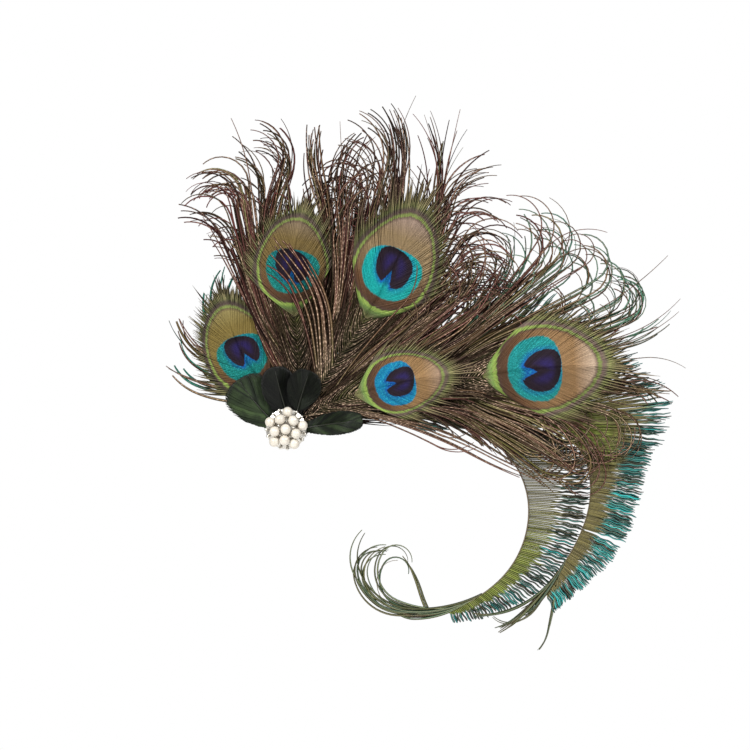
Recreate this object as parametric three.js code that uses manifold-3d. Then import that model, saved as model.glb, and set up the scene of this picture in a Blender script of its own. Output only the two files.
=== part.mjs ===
// Peacock feather hair clip: five eye feathers in a fan, two sword feathers that curve down behind it,
// four short rosette feathers, a pearl brooch over the root, a felt pad and a flat hair clip.
// Millimetres, +Z up. The wearer's head is at +Y, the front of the clip faces -Y,
// and the origin is the middle of the clip's slot, where it grips the hair.
// A lean is a direction in the plane of the fan: degrees from straight up, positive to the right.
import * as THREE from 'three';
import { mergeVertices } from 'three/addons/utils/BufferGeometryUtils.js';
import Module from 'manifold-3d';

const wasm = await Module();
wasm.setup();

// Clip and pad
const CLIP_LENGTH = 40;
const CLIP_WIDTH = 9;
const CLIP_LEAF = 1.0;
const CLIP_SLOT = 1.6;
const CLIP_BRIDGE = 4;
const CLIP_TILT_DEG = 22;
const CLIP_CURVE_SEGMENTS = 8;
const PAD_RADIUS = 11;
const PAD_THICKNESS = 1.5;
const PAD_SIDES = 28;
const PAD_CENTRE = { x: -7, z: -6 };
const SEAT_GAP = 0.3;

// Feather sheets: each feather lies in a gently bowed sheet, and the sheets stand one in front of another
const QUILL_WIDTH = 1.6;
const QUILL_TIP_WIDTH = 0.6;
const QUILL_STRIDE = 11;
const SHEET_RISE_FROM = 8;
const SHEET_RISE_TO = 28;
const SHEET_PITCH = 2.7;
const SHEET_SPREAD = 0.016;
const BOW_DEPTH = 8;
const BOW_RADIUS = 150;
const LOCK_THICKNESS = 0.5;
const LOCK_LEVELS = [0.5, -0.5, 0.95, -0.95];
const LOCK_LIFT = 12;
const LOCK_MIN_STEPS = 2;
const LOCK_STEP_LENGTH = 45;
const LOCK_STEP_TURN_DEG = 32;
const LOCK_STEP_EASE = 1.3;
const LOCK_ROOT_SHARE = 0.25;
const LOCK_SWELL = 1.8;
const LOCK_TIP_TAPER = 0.8;
const EYE_FRINGE = 7;
const EYE_EGG = 0.16;
const EYE_STEPS = 12;
const SKIRT_FROM = 12;
const SKIRT_RISE = 26;
const SKIRT_HALF = 11;
const LOCK_SHARES = [0.4, 0.35, 0.25];
const LEAF_STEM_HALF = 2.2;
const LEAF_STEPS = 9;

// Pearl brooch
const BROOCH_CENTRE = { x: -9, z: -8.4 };
const PEARL_DIAMETER = 5.8;
const PEARL_SIDES = 10;
const PEARL_RINGS = 7;
const PEARL_DOME_RADIUS = 16;
const INNER_RING_RADIUS = 6.3;
const INNER_RING_TURN_DEG = 48;
const OUTER_RING_RADIUS = 9.6;
const OUTER_RING_TURN_DEG = 84;
const RING_COUNT = 5;
const BALL_DIAMETER = 2.0;
const BALL_SIDES = 10;
const BALL_RINGS = 5;
const BALL_RING_RADIUS = 4.3;
const BALL_SINK = 0.25;
const BALL_PAIR_RADIUS = 11;
const BALL_PAIR_HALF_ANGLE = 10;
const DOME_RIM_RADIUS = 9.5;
const DOME_STEPS = 5;
const SETTING_SIDES = 20;
const FLANGE_RADIUS = 11.4;
const FLANGE_THICKNESS = 1.2;
const SHANK_RADIUS = 4;

// Depths worked out from the sizes above
const CLIP_FRONT_Y = -(CLIP_SLOT / 2 + CLIP_LEAF);
const PAD_BACK_Y = CLIP_FRONT_Y - SEAT_GAP;
const PAD_FRONT_Y = PAD_BACK_Y - PAD_THICKNESS;
const QUILL_Y = PAD_FRONT_Y - SEAT_GAP - QUILL_WIDTH / 2;
const ROSETTE_THICKNESS = 0.8;
const ROSETTE_CLEAR = QUILL_WIDTH / 2 + SEAT_GAP + ROSETTE_THICKNESS / 2;
const BROOCH_BACK_Y = QUILL_Y - ROSETTE_CLEAR - 2 * ROSETTE_THICKNESS - 2 * SEAT_GAP;
const BROOCH_DOME_RADIUS = PEARL_DOME_RADIUS - PEARL_DIAMETER / 2 - SEAT_GAP;
const FLANGE_FRONT_Y = BROOCH_BACK_Y - FLANGE_THICKNESS;
const DOME_CENTRE_Y = FLANGE_FRONT_Y + Math.sqrt(BROOCH_DOME_RADIUS ** 2 - DOME_RIM_RADIUS ** 2);

// A table is a list of column names and one row of values for each section, lock or leaf.
function table(columns, rows) {
  return rows.map((row) => Object.fromEntries(columns.map((column, i) => [column, row[i]])));
}

const SHAFT_COLUMNS = ['length', 'lean'];
const LOCK_COLUMNS = ['root', 'length', 'leanRoot', 'leanMid', 'leanFar', 'leanTip', 'width'];
const LEAF_COLUMNS = ['x', 'z', 'length', 'leanRoot', 'leanTip', 'width', 'widest', 'sheet', 'front'];

// Eye feathers. Shaft: a chain of arcs, each with its length and the lean at its end.
// Eye: where it starts along the shaft, its length and width. Locks: the loose barbs, gathered in strips.
const EYE_FEATHERS = {
  eye_feather_1: {
    sheet: 0,
    start: { x: -7.5, z: 5.5, lean: -62 },
    shaft: table(SHAFT_COLUMNS, [[28, -34], [44, -8]]),
    eye: { base: 19, length: 48, width: 36 },
    locks: table(LOCK_COLUMNS, [
      [4, 70, -84, -84, -68, -44, 8],
      [6, 74, -76, -68, -52, -8, 8],
      [8, 76, -66, -60, -46, -4, 8],
      [12, 72, -64, -44, -20, 20, 8],
      [16, 74, -66, -30, -4, 30, 8],
      [20, 72, -60, -20, 4, 24, 8],
      [26, 68, 6, -2, -10, 10, 8],
    ]),
  },
  eye_feather_2: {
    sheet: 1,
    start: { x: -2, z: 0, lean: 2 },
    shaft: table(SHAFT_COLUMNS, [[60, -7], [50, 18]]),
    eye: { base: 62, length: 47, width: 38 },
    locks: table(LOCK_COLUMNS, [
      [24, 122, -50, -22, -20, -100, 8],
      [30, 130, -46, -12, -12, -150, 8],
      [34, 132, -44, -10, -10, -138, 8],
      [38, 124, -42, -8, 4, -60, 8],
      [46, 132, -40, -4, 30, -95, 8],
      [52, 116, -36, 2, 18, -60, 8],
      [50, 112, 38, 4, -14, 0, 8],
      [44, 122, 42, 6, -20, 12, 8],
      [36, 130, 42, 10, -12, 55, 8],
      [30, 128, 40, 12, -4, 30, 8],
      [22, 148, 34, 16, 6, -170, 8],
      [19, 88, -44, -24, -18, -26, 8],
      [11, 60, -44, -30, -14, -6, 8],
    ]),
  },
  eye_feather_3: {
    sheet: 3,
    start: { x: 0.5, z: 0.4, lean: 30 },
    shaft: table(SHAFT_COLUMNS, [[48, 36], [75, 20]]),
    eye: { base: 71, length: 55, width: 42 },
    locks: table(LOCK_COLUMNS, [
      [26, 73, 3, -10, -22, -36, 9],
      [31, 122, 6, 8, -2, 80, 9],
      [41, 126, 0, 12, 18, -95, 9],
      [51, 132, -2, 18, 14, -62, 9],
      [59, 130, 2, 24, 6, -30, 9],
      [55, 138, 64, 24, 2, -34, 9],
      [48, 140, 70, 24, 6, 20, 9],
      [43, 138, 72, 26, 14, 108, 10],
      [37, 136, 74, 32, 22, 132, 10],
      [33, 134, 74, 38, 30, 150, 10],
      [27, 138, 72, 44, 38, 170, 10],
      [21, 136, 66, 50, 44, 150, 10],
      [15, 124, 62, 56, 52, 120, 10],
    ]),
  },
  eye_feather_4: {
    sheet: 4,
    start: { x: -0.3, z: -1.8, lean: 62 },
    shaft: table(SHAFT_COLUMNS, [[40, 75], [45, 79]]),
    eye: { base: 39.5, length: 43, width: 31 },
    locks: table(LOCK_COLUMNS, [
      [18, 140, 34, 58, 50, -60, 9],
      [26, 112, 41, 58, 53, 24, 9],
      [32, 84, 46, 72, 64, 50, 9],
      [14, 112, 96, 86, 116, 140, 8],
      [22, 84, 108, 84, 100, 122, 8],
      [30, 72, 110, 80, 84, 100, 8],
      [12, 116, 40, 52, 48, 90, 9],
    ]),
  },
  eye_feather_5: {
    sheet: 2,
    start: { x: -0.7, z: -3.9, lean: 72 },
    shaft: table(SHAFT_COLUMNS, [[111, 81], [58, 88]]),
    eye: { base: 112, length: 57, width: 46 },
    locks: table(LOCK_COLUMNS, [
      [43, 130, 46, 52, 44, -20, 9],
      [54, 150, 46, 52, 38, -90, 9],
      [64, 152, 42, 54, 52, -100, 9],
      [76, 138, 40, 68, 64, -84, 9],
      [90, 134, 40, 82, 66, -96, 9],
      [100, 124, 36, 92, 64, -84, 9],
      [116, 90, 44, 90, 80, 50, 9],
      [122, 84, 118, 92, 92, 80, 9],
      [106, 104, 120, 84, 76, 120, 9],
      [98, 116, 122, 86, 110, 230, 9],
      [88, 134, 122, 98, 168, 330, 9],
      [78, 118, 122, 114, 134, -20, 9],
      [68, 112, 120, 116, 124, 40, 9],
      [34, 120, 48, 54, 48, 10, 9],
      [58, 104, 118, 116, 126, 140, 9],
    ]),
  },
};

// Sword feathers: long curved shafts with barbs on the outer side only, and loose barbs at the tip.
const SWORD_FEATHERS = {
  sword_feather_inner: {
    sheet: 0,
    start: { x: -2, z: -9, lean: 76 },
    shaft: table(SHAFT_COLUMNS, [
      [56, 84], [43, 116], [34, 148], [28, 182], [44, 228], [44, 262], [20, 300], [22, 375], [18, 470],
    ]),
    blade: { from: 46, to: 232, width: 14 },
    locks: table(LOCK_COLUMNS, [
      [46, 30, 112, 108, 108, 110, 14],
      [66, 38, 104, 102, 102, 104, 14],
      [86, 42, 98, 96, 98, 98, 14],
      [104, 46, 94, 94, 94, 94, 12],
      [120, 46, 90, 91, 91, 90, 12],
      [134, 42, 88, 90, 90, 88, 12],
      [147, 36, 90, 92, 91, 88, 12],
      [160, 33, 94, 97, 100, 102, 12],
      [172, 30, 98, 102, 106, 108, 12],
      [184, 27, 103, 108, 112, 115, 12],
      [195, 23, 112, 116, 121, 126, 12],
      [206, 18, 122, 127, 133, 138, 12],
      [217, 14, 128, 132, 138, 144, 10],
      [218, 102, 246, 272, 335, 405, 4],
      [226, 94, 250, 276, 350, 450, 5],
    ]),
  },
  sword_feather_outer: {
    sheet: 1,
    start: { x: -1.7, z: -6.6, lean: 79 },
    shaft: table(SHAFT_COLUMNS, [
      [70, 86], [66, 106], [13, 124], [14, 145], [14, 170], [22, 194], [16, 206], [22, 216], [26, 228],
    ]),
    blade: { from: 64, to: 252, width: 14 },
    locks: table(LOCK_COLUMNS, [
      [66, 96, 40, 38, 36, 34, 12],
      [80, 94, 48, 46, 46, 44, 12],
      [94, 90, 58, 56, 56, 56, 12],
      [108, 86, 66, 66, 66, 66, 12],
      [120, 82, 74, 74, 75, 75, 12],
      [132, 76, 82, 83, 84, 84, 12],
      [142, 64, 88, 90, 92, 92, 12],
      [150, 54, 92, 95, 97, 97, 12],
      [158, 44, 94, 97, 98, 98, 12],
      [170, 33, 92, 95, 96, 96, 12],
      [182, 29, 94, 97, 99, 99, 12],
      [194, 26, 99, 103, 106, 107, 12],
      [205, 25, 104, 108, 109, 110, 11],
      [216, 22, 112, 118, 122, 124, 11],
      [226, 19, 121, 128, 133, 135, 11],
      [238, 16, 132, 138, 144, 148, 11],
      [240, 46, 214, 222, 232, 250, 6],
      [236, 47, 195, 190, 190, 215, 3],
    ]),
  },
};

// Rosette feathers: short leaves from under the brooch. Widest: the share of the length where it is widest.
// Sheet and front: the fan sheet it lies over, and how many leaves stand between it and that sheet.
const ROSETTE_FEATHERS = {
  rosette_feather_1: table(LEAF_COLUMNS, [[-14, -7, 34, -46, -34, 28, 0.72, 0, 0]])[0],
  rosette_feather_2: table(LEAF_COLUMNS, [[-8, -2, 29, -18, -12, 20, 0.6, 1, 0.5]])[0],
  rosette_feather_3: table(LEAF_COLUMNS, [[-3, 1, 24, 14, 22, 19, 0.62, 3, 1.2]])[0],
  rosette_feather_4: table(LEAF_COLUMNS, [[1, -8, 33, 80, 84, 13, 0.6, 4, 0]])[0],
};

const rad = THREE.MathUtils.degToRad;
// How far the corners of a three-sided bar of radius 1 reach to the side.
const TRIANGLE_REACH = Math.sin(rad(60));
const heading = (lean) => new THREE.Vector2(Math.sin(rad(lean)), Math.cos(rad(lean)));

// A path in the plane of the fan: a chain of arcs, walked in short steps from its start.
function arcPath(start, sections, stride = 1) {
  const stations = [{ x: start.x, z: start.z, lean: start.lean, along: 0 }];
  for (const { length, lean } of sections) {
    const first = stations.at(-1);
    const count = Math.ceil(length / stride);
    for (let i = 1; i <= count; i += 1) {
      const last = stations.at(-1);
      const step = heading(THREE.MathUtils.lerp(first.lean, lean, (i - 0.5) / count));
      stations.push({
        x: last.x + (step.x * length) / count,
        z: last.z + (step.y * length) / count,
        lean: THREE.MathUtils.lerp(first.lean, lean, i / count),
        along: first.along + (length * i) / count,
      });
    }
  }
  return stations;
}

function pointOn(path, along) {
  const i = Math.max(1, path.findIndex((station) => station.along >= along - 1e-9));
  const [a, b] = [path[i - 1], path[i]];
  const share = (along - a.along) / (b.along - a.along);
  const mix = (key) => THREE.MathUtils.lerp(a[key], b[key], share);
  return { x: mix('x'), z: mix('z'), lean: mix('lean') };
}

// Depth of a sheet at a place in the fan: it leaves the pad flat, rises to its level and bows forward.
function sheetY(sheet, x, z) {
  const reach = Math.hypot(x, z);
  const rise = THREE.MathUtils.smoothstep(reach, SHEET_RISE_FROM, SHEET_RISE_TO);
  const level = sheet * (SHEET_PITCH * rise + SHEET_SPREAD * reach);
  return QUILL_Y - level - BOW_DEPTH * (reach / BOW_RADIUS) ** 2;
}

function solidFrom(geometry) {
  geometry.deleteAttribute('normal');
  geometry.deleteAttribute('uv');
  const merged = mergeVertices(geometry);
  const vertProperties = new Float32Array(merged.attributes.position.array);
  const triVerts = new Uint32Array(merged.index.array);
  return new wasm.Manifold(new wasm.Mesh({ numProp: 3, vertProperties, triVerts }));
}

function geometryFrom(solid) {
  const { vertProperties, triVerts } = solid.getMesh();
  const geometry = new THREE.BufferGeometry();
  geometry.setAttribute('position', new THREE.BufferAttribute(vertProperties, 3));
  geometry.setIndex(new THREE.BufferAttribute(triVerts, 1));
  geometry.computeVertexNormals();
  return geometry;
}

// Joins pieces that overlap into one solid; pockets closed in between the pieces are filled.
function join(solids) {
  const whole = solids.reduce((sum, solid) => sum.add(solid));
  return whole.decompose().reduce((outer, skin) => (skin.volume() > outer.volume() ? skin : outer));
}

// A closed strip along a path: a bar with one ring at each stop, stretched to the left and right of the path.
// Left, right, half depth and depth are functions of the distance along the path.
// The ridge of a three-sided bar faces the front, and a four-sided bar has its spine on the path.
function strip({ path, sides, stops, left, right, halfDepth, depthAt }) {
  const bar = new THREE.CylinderGeometry(1, 1, 1, sides, stops.length - 1);
  const vertices = bar.attributes.position;
  for (let i = 0; i < vertices.count; i += 1) {
    const along = stops[Math.round((vertices.getY(i) + 0.5) * (stops.length - 1))];
    const centre = pointOn(path, along);
    const side = vertices.getX(i);
    const across = heading(centre.lean + 90).multiplyScalar(side * (side < 0 ? left(along) : right(along)));
    const x = centre.x + across.x;
    const z = centre.z + across.y;
    vertices.setXYZ(i, x, depthAt(x, z, along) - vertices.getZ(i) * halfDepth(along), z);
  }
  return solidFrom(bar);
}

const evenStops = (from, to, count) => Array.from({ length: count }, (_, i) => from + ((to - from) * i) / count);

// Stops close together at both ends, for round outlines.
function roundStops(from, to, count) {
  const share = (i) => 0.5 - 0.5 * Math.cos((Math.PI * i) / count);
  return Array.from({ length: count + 1 }, (_, i) => from + (to - from) * share(i));
}

// Half the width of an eye feather's blade at a distance along the shaft:
// an egg round the eye and its fringe, above a skirt of barbs that widens from the quill.
function eyeBladeHalf(eye, along) {
  const share = (along - eye.base + EYE_FRINGE) / (eye.length + 2 * EYE_FRINGE);
  const egg = 2 * Math.sqrt(Math.max(0, share * (1 - share))) * (1 + EYE_EGG * (1 - 2 * share));
  const skirt = SKIRT_HALF * THREE.MathUtils.smoothstep(along, SKIRT_FROM, SKIRT_FROM + SKIRT_RISE);
  return share < 1 ? Math.max((eye.width / 2 + EYE_FRINGE) * egg, share < 0.5 ? skirt : 0) : 0;
}

// Width of a sword feather's blade, at a distance along the shaft.
function bladeWidth(blade, along) {
  const share = (along - blade.from) / (blade.to - blade.from);
  return share <= 0 || share >= 1 ? 0 : blade.width * Math.sqrt(Math.sin(Math.PI * share));
}

// Shaft and dense barbs in one bar: the quill is its spine, and the blade is thin towards its edges.
function spineSolid(path, { sheet, eye, blade }) {
  const length = path.at(-1).along;
  const quill = (along) => THREE.MathUtils.lerp(QUILL_WIDTH, QUILL_TIP_WIDTH, along / length) / 2;
  const from = eye ? eye.base - EYE_FRINGE : length;
  const quillStops = evenStops(0, from, Math.round(from / QUILL_STRIDE));
  return strip({
    path,
    sides: 4,
    stops: eye ? [...quillStops, ...roundStops(from, length, EYE_STEPS)] : [...quillStops, length],
    left: (along) => quill(along) + (eye ? eyeBladeHalf(eye, along) : bladeWidth(blade, along)),
    right: (along) => quill(along) + (eye ? eyeBladeHalf(eye, along) : 0),
    halfDepth: quill,
    depthAt: (x, z) => sheetY(sheet, x, z),
  });
}

// A lock of barbs: it leaves the shaft and then runs in front of the blade or behind it, in turn.
function lockSolid(shaft, lock, sheet, order) {
  const root = pointOn(shaft, lock.root);
  const leans = [lock.leanMid, lock.leanFar, lock.leanTip];
  const sections = LOCK_SHARES.map((share, i) => ({ length: share * lock.length, lean: leans[i] }));
  const level = LOCK_LEVELS[order % LOCK_LEVELS.length];
  const turn = Math.abs(lock.leanTip - lock.leanFar);
  const steps = Math.round(LOCK_MIN_STEPS + lock.length / LOCK_STEP_LENGTH + turn / LOCK_STEP_TURN_DEG);
  const swell = (share) => Math.min(1, LOCK_ROOT_SHARE + LOCK_SWELL * share) * (1 - LOCK_TIP_TAPER * share ** 2);
  const half = (along) => (lock.width / 2 / TRIANGLE_REACH) * swell(along / lock.length);
  return strip({
    path: arcPath({ x: root.x, z: root.z, lean: lock.leanRoot }, sections),
    sides: 3,
    stops: Array.from({ length: steps + 1 }, (_, i) => lock.length * (1 - (1 - i / steps) ** LOCK_STEP_EASE)),
    left: half,
    right: half,
    halfDepth: () => LOCK_THICKNESS / 2,
    depthAt: (x, z, along) => sheetY(sheet, x, z) + level * Math.min(1, along / LOCK_LIFT),
  });
}

function featherSolid(feather) {
  const { sheet, start, shaft, eye, locks } = feather;
  const shaftEnd = shaft.reduce((sum, section) => sum + section.length, 0);
  const fringe = eye ? [{ length: eye.base + eye.length + EYE_FRINGE - shaftEnd, lean: shaft.at(-1).lean }] : [];
  const path = arcPath(start, [...shaft, ...fringe]);
  return join([
    spineSolid(path, feather),
    ...locks.map((lock, order) => lockSolid(path, lock, sheet, order)),
  ]);
}

function leafSolid({ x, z, length, leanRoot, leanTip, width, widest, sheet, front }) {
  const clear = ROSETTE_CLEAR + front * (ROSETTE_THICKNESS + SEAT_GAP);
  const swell = (share) => Math.sin((Math.PI / 2) * Math.min(1, share / widest));
  const close = (share) => Math.sqrt(Math.max(0, 1 - (Math.max(0, share - widest) / (1 - widest)) ** 2));
  const half = (along) =>
    LEAF_STEM_HALF + (width / 2 - LEAF_STEM_HALF) * swell(along / length) * close(along / length);
  return strip({
    path: arcPath({ x, z, lean: leanRoot }, [{ length, lean: leanTip }]),
    sides: 4,
    stops: roundStops(0, length, LEAF_STEPS),
    left: half,
    right: half,
    halfDepth: () => ROSETTE_THICKNESS / 2,
    depthAt: (px, pz) => sheetY(sheet, px, pz) - clear,
  });
}

// A flat clip bent from one band: two leaves joined at one end, with the slot between them.
function clipGeometry() {
  const back = CLIP_SLOT / 2 + CLIP_LEAF;
  const end = CLIP_LENGTH / 2;
  const outline = new THREE.Shape();
  outline.moveTo(-end + back, -back);
  outline.lineTo(end, -back);
  outline.lineTo(end, -CLIP_SLOT / 2);
  outline.lineTo(-end + CLIP_BRIDGE, -CLIP_SLOT / 2);
  outline.absarc(-end + CLIP_BRIDGE, 0, CLIP_SLOT / 2, -Math.PI / 2, -1.5 * Math.PI, true);
  outline.lineTo(end, CLIP_SLOT / 2);
  outline.lineTo(end, back);
  outline.lineTo(-end + back, back);
  outline.absarc(-end + back, 0, back, Math.PI / 2, 1.5 * Math.PI, false);
  const geometry = new THREE.ExtrudeGeometry(outline, {
    depth: CLIP_WIDTH,
    bevelEnabled: false,
    curveSegments: CLIP_CURVE_SEGMENTS,
  });
  return geometry.translate(0, 0, -CLIP_WIDTH / 2);
}

function padGeometry() {
  return new THREE.CylinderGeometry(PAD_RADIUS, PAD_RADIUS, PAD_THICKNESS, PAD_SIDES);
}

// Places on the brooch: the polar radius and angle of a bead whose centre lies on a sphere of the given radius.
function onDome(sphereRadius, polarRadius, angleDeg) {
  const forward = Math.sqrt(sphereRadius ** 2 - polarRadius ** 2);
  const turn = rad(angleDeg);
  return new THREE.Vector3(polarRadius * Math.cos(turn), -forward, polarRadius * Math.sin(turn));
}

const fiveTurns = (first) => Array.from({ length: RING_COUNT }, (_, i) => first + (360 / RING_COUNT) * i);

function ballAt(place) {
  const ball = new THREE.SphereGeometry(BALL_DIAMETER / 2, BALL_SIDES, BALL_RINGS);
  return solidFrom(ball.translate(...place.toArray()));
}

// Setting: a shank and flange under a dome, with the small silver balls fused on.
// Its own origin is the centre of the dome's sphere.
function settingGeometry() {
  const flangeBack = BROOCH_BACK_Y - DOME_CENTRE_Y;
  const flangeFront = FLANGE_FRONT_Y - DOME_CENTRE_Y;
  const shankBack = PAD_FRONT_Y - SEAT_GAP - DOME_CENTRE_Y;
  const rimAngle = Math.asin(DOME_RIM_RADIUS / BROOCH_DOME_RADIUS);
  const dome = Array.from({ length: DOME_STEPS + 1 }, (_, i) => {
    const angle = (rimAngle * i) / DOME_STEPS;
    return new THREE.Vector2(BROOCH_DOME_RADIUS * Math.sin(angle), -BROOCH_DOME_RADIUS * Math.cos(angle));
  });
  const profile = [
    ...dome,
    new THREE.Vector2(FLANGE_RADIUS, flangeFront),
    new THREE.Vector2(FLANGE_RADIUS, flangeBack),
    new THREE.Vector2(SHANK_RADIUS, flangeBack),
    new THREE.Vector2(SHANK_RADIUS, shankBack),
    new THREE.Vector2(0, shankBack),
  ];
  const solids = [solidFrom(new THREE.LatheGeometry(profile, SETTING_SIDES))];
  const ballSphere = BROOCH_DOME_RADIUS + BALL_DIAMETER / 2 - BALL_SINK;
  for (const angle of fiveTurns(OUTER_RING_TURN_DEG)) {
    solids.push(ballAt(onDome(ballSphere, BALL_RING_RADIUS, angle)));
  }
  for (const middle of fiveTurns(INNER_RING_TURN_DEG)) {
    for (const angle of [middle - BALL_PAIR_HALF_ANGLE, middle + BALL_PAIR_HALF_ANGLE]) {
      const place = onDome(PEARL_DOME_RADIUS, BALL_PAIR_RADIUS, angle);
      place.y = flangeFront - BALL_DIAMETER / 2 + BALL_SINK;
      solids.push(ballAt(place));
    }
  }
  return geometryFrom(join(solids));
}

function finish(colour, roughness, metalness) {
  return new THREE.MeshStandardMaterial({ color: colour, roughness, metalness });
}

const clip = new THREE.Group();

function addPiece(parent, name, geometry, material) {
  const mesh = new THREE.Mesh(geometry, material);
  mesh.name = name;
  parent.add(mesh);
  return mesh;
}

const hairClip = addPiece(clip, 'hair_clip', clipGeometry(), finish(0x6f7073, 0.35, 0.9));
hairClip.rotation.y = -rad(CLIP_TILT_DEG);

const pad = addPiece(clip, 'backing_pad', padGeometry(), finish(0x1c1b1a, 0.95, 0));
pad.position.set(PAD_CENTRE.x, (PAD_BACK_Y + PAD_FRONT_Y) / 2, PAD_CENTRE.z);

for (const [name, feather] of Object.entries({ ...SWORD_FEATHERS, ...EYE_FEATHERS })) {
  addPiece(clip, name, geometryFrom(featherSolid(feather)), finish(0x4d4a38, 0.6, 0.1));
}
for (const [name, leaf] of Object.entries(ROSETTE_FEATHERS)) {
  addPiece(clip, name, geometryFrom(leafSolid(leaf)), finish(0x1d221c, 0.5, 0));
}

const brooch = new THREE.Group();
brooch.position.set(BROOCH_CENTRE.x, DOME_CENTRE_Y, BROOCH_CENTRE.z);
clip.add(brooch);
addPiece(brooch, 'brooch_setting', settingGeometry(), finish(0xb9b7b2, 0.25, 1));

function addPearl(name, polarRadius, angle) {
  const pearl = new THREE.SphereGeometry(PEARL_DIAMETER / 2, PEARL_SIDES, PEARL_RINGS);
  const mesh = addPiece(brooch, name, pearl, finish(0xf3eee2, 0.18, 0));
  mesh.position.copy(onDome(PEARL_DOME_RADIUS, polarRadius, angle));
}

addPearl('pearl_centre', 0, 0);
fiveTurns(INNER_RING_TURN_DEG).forEach((angle, i) => {
  addPearl(`pearl_inner_${i + 1}`, INNER_RING_RADIUS, angle);
});
fiveTurns(OUTER_RING_TURN_DEG).forEach((angle, i) => {
  addPearl(`pearl_outer_${i + 1}`, OUTER_RING_RADIUS, angle);
});

export default clip;
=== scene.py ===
# %% [markdown]
# # A peacock feather hair clip
# This lesson dresses a hair clip that is made of five peacock eye feathers in a fan, two curved sword
# feathers behind them, four short black feathers and a pearl brooch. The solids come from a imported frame
# and show where each piece lies. A feather is thousands of thin barbs, and that is what we make here.

# %% Load the frame
import math

import bmesh
import bpy
import numpy as np
from mathutils import Matrix, Vector


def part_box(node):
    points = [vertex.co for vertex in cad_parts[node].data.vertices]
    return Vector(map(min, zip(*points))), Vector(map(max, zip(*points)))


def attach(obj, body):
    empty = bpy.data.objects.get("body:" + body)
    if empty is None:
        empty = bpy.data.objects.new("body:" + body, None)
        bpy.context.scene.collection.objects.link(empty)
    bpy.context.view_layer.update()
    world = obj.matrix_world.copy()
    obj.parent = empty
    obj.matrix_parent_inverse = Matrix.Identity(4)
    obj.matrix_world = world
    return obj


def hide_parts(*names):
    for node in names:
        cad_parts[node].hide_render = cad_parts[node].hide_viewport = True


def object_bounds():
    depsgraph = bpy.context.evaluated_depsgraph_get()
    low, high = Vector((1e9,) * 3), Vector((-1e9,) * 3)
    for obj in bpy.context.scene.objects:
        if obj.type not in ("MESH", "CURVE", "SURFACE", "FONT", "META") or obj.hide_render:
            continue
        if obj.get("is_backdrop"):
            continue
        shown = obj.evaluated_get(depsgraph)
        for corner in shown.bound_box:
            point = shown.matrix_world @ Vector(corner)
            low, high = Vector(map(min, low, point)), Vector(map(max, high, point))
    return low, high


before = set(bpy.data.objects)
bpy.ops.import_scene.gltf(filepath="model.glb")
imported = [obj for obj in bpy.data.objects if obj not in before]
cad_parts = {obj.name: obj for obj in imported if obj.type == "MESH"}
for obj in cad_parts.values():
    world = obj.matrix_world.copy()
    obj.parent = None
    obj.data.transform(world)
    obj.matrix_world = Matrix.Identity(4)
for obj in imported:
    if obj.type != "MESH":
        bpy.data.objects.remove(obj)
cad_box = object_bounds()
scene = bpy.context.scene
print("frame nodes:", len(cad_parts))

# %% [markdown]
# ## Units and places
# Sizes are typed in millimetres, as a maker would measure them, and turned into metres only when a mesh is
# made. Places in the fan are x to the right and z up, and a lean is a direction in that plane: degrees
# from straight up, positive to the right. The front of the clip faces -Y.

# %% Units
MM = 0.001
FRONT = np.array([0.0, -1.0, 0.0])


def smooth(value, low, high):
    """A soft step: 0 below low, 1 above high."""
    share = np.clip((value - low) / (high - low), 0, 1)
    return share * share * (3 - 2 * share)


def dress(piece, solid=None):
    """Hangs a piece on the part's one body, in place of the solid that it covers."""
    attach(piece, "root")
    if solid:
        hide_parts(solid)


# %% [markdown]
# ## Camera and light
# The clip is seen square from the front, from about a metre away. A large soft light on each side of the
# camera gives every pearl two highlights, a third light serves the back, and a pale world fills the shadows.

# %% Camera
PHOTO_SIDE_PX = 750
ROOT_PX = (302, 414)
MM_PER_PX = 0.56
CAMERA_AWAY = 1200
FAN_PLANE = -12
SENSOR = 36

view_side = PHOTO_SIDE_PX * MM_PER_PX
view_x = (PHOTO_SIDE_PX / 2 - ROOT_PX[0]) * MM_PER_PX
view_z = (ROOT_PX[1] - PHOTO_SIDE_PX / 2) * MM_PER_PX
camera_data = bpy.data.cameras.new("camera")
camera_data.sensor_width = SENSOR
camera_data.lens = SENSOR * (CAMERA_AWAY + FAN_PLANE) / view_side
camera = bpy.data.objects.new("camera", camera_data)
camera.location = (view_x * MM, -CAMERA_AWAY * MM, view_z * MM)
camera.rotation_euler = (math.radians(90), 0, 0)
scene.collection.objects.link(camera)
scene.camera = camera
scene.view_settings.view_transform = "Standard"
print("camera lens:", round(camera_data.lens, 1), "mm")

# %% Lights and world
LIGHT_AIM = Vector((0.03, 0, 0.02))
LIGHTS = {
    "light_left": ((-0.75, -1.15, 0.85), 0.5, 26),
    "light_right": ((0.95, -1.2, 0.75), 0.5, 14),
    "light_behind": ((0.2, 1.3, 0.9), 0.8, 16),
}
FILL = 0.36

for name, (place, side, watts) in LIGHTS.items():
    data = bpy.data.lights.new(name, "AREA")
    data.shape = "SQUARE"
    data.size = side
    data.energy = watts
    light = bpy.data.objects.new(name, data)
    light.location = place
    light.rotation_euler = (LIGHT_AIM - Vector(place)).to_track_quat("-Z", "Y").to_euler()
    scene.collection.objects.link(light)

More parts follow.
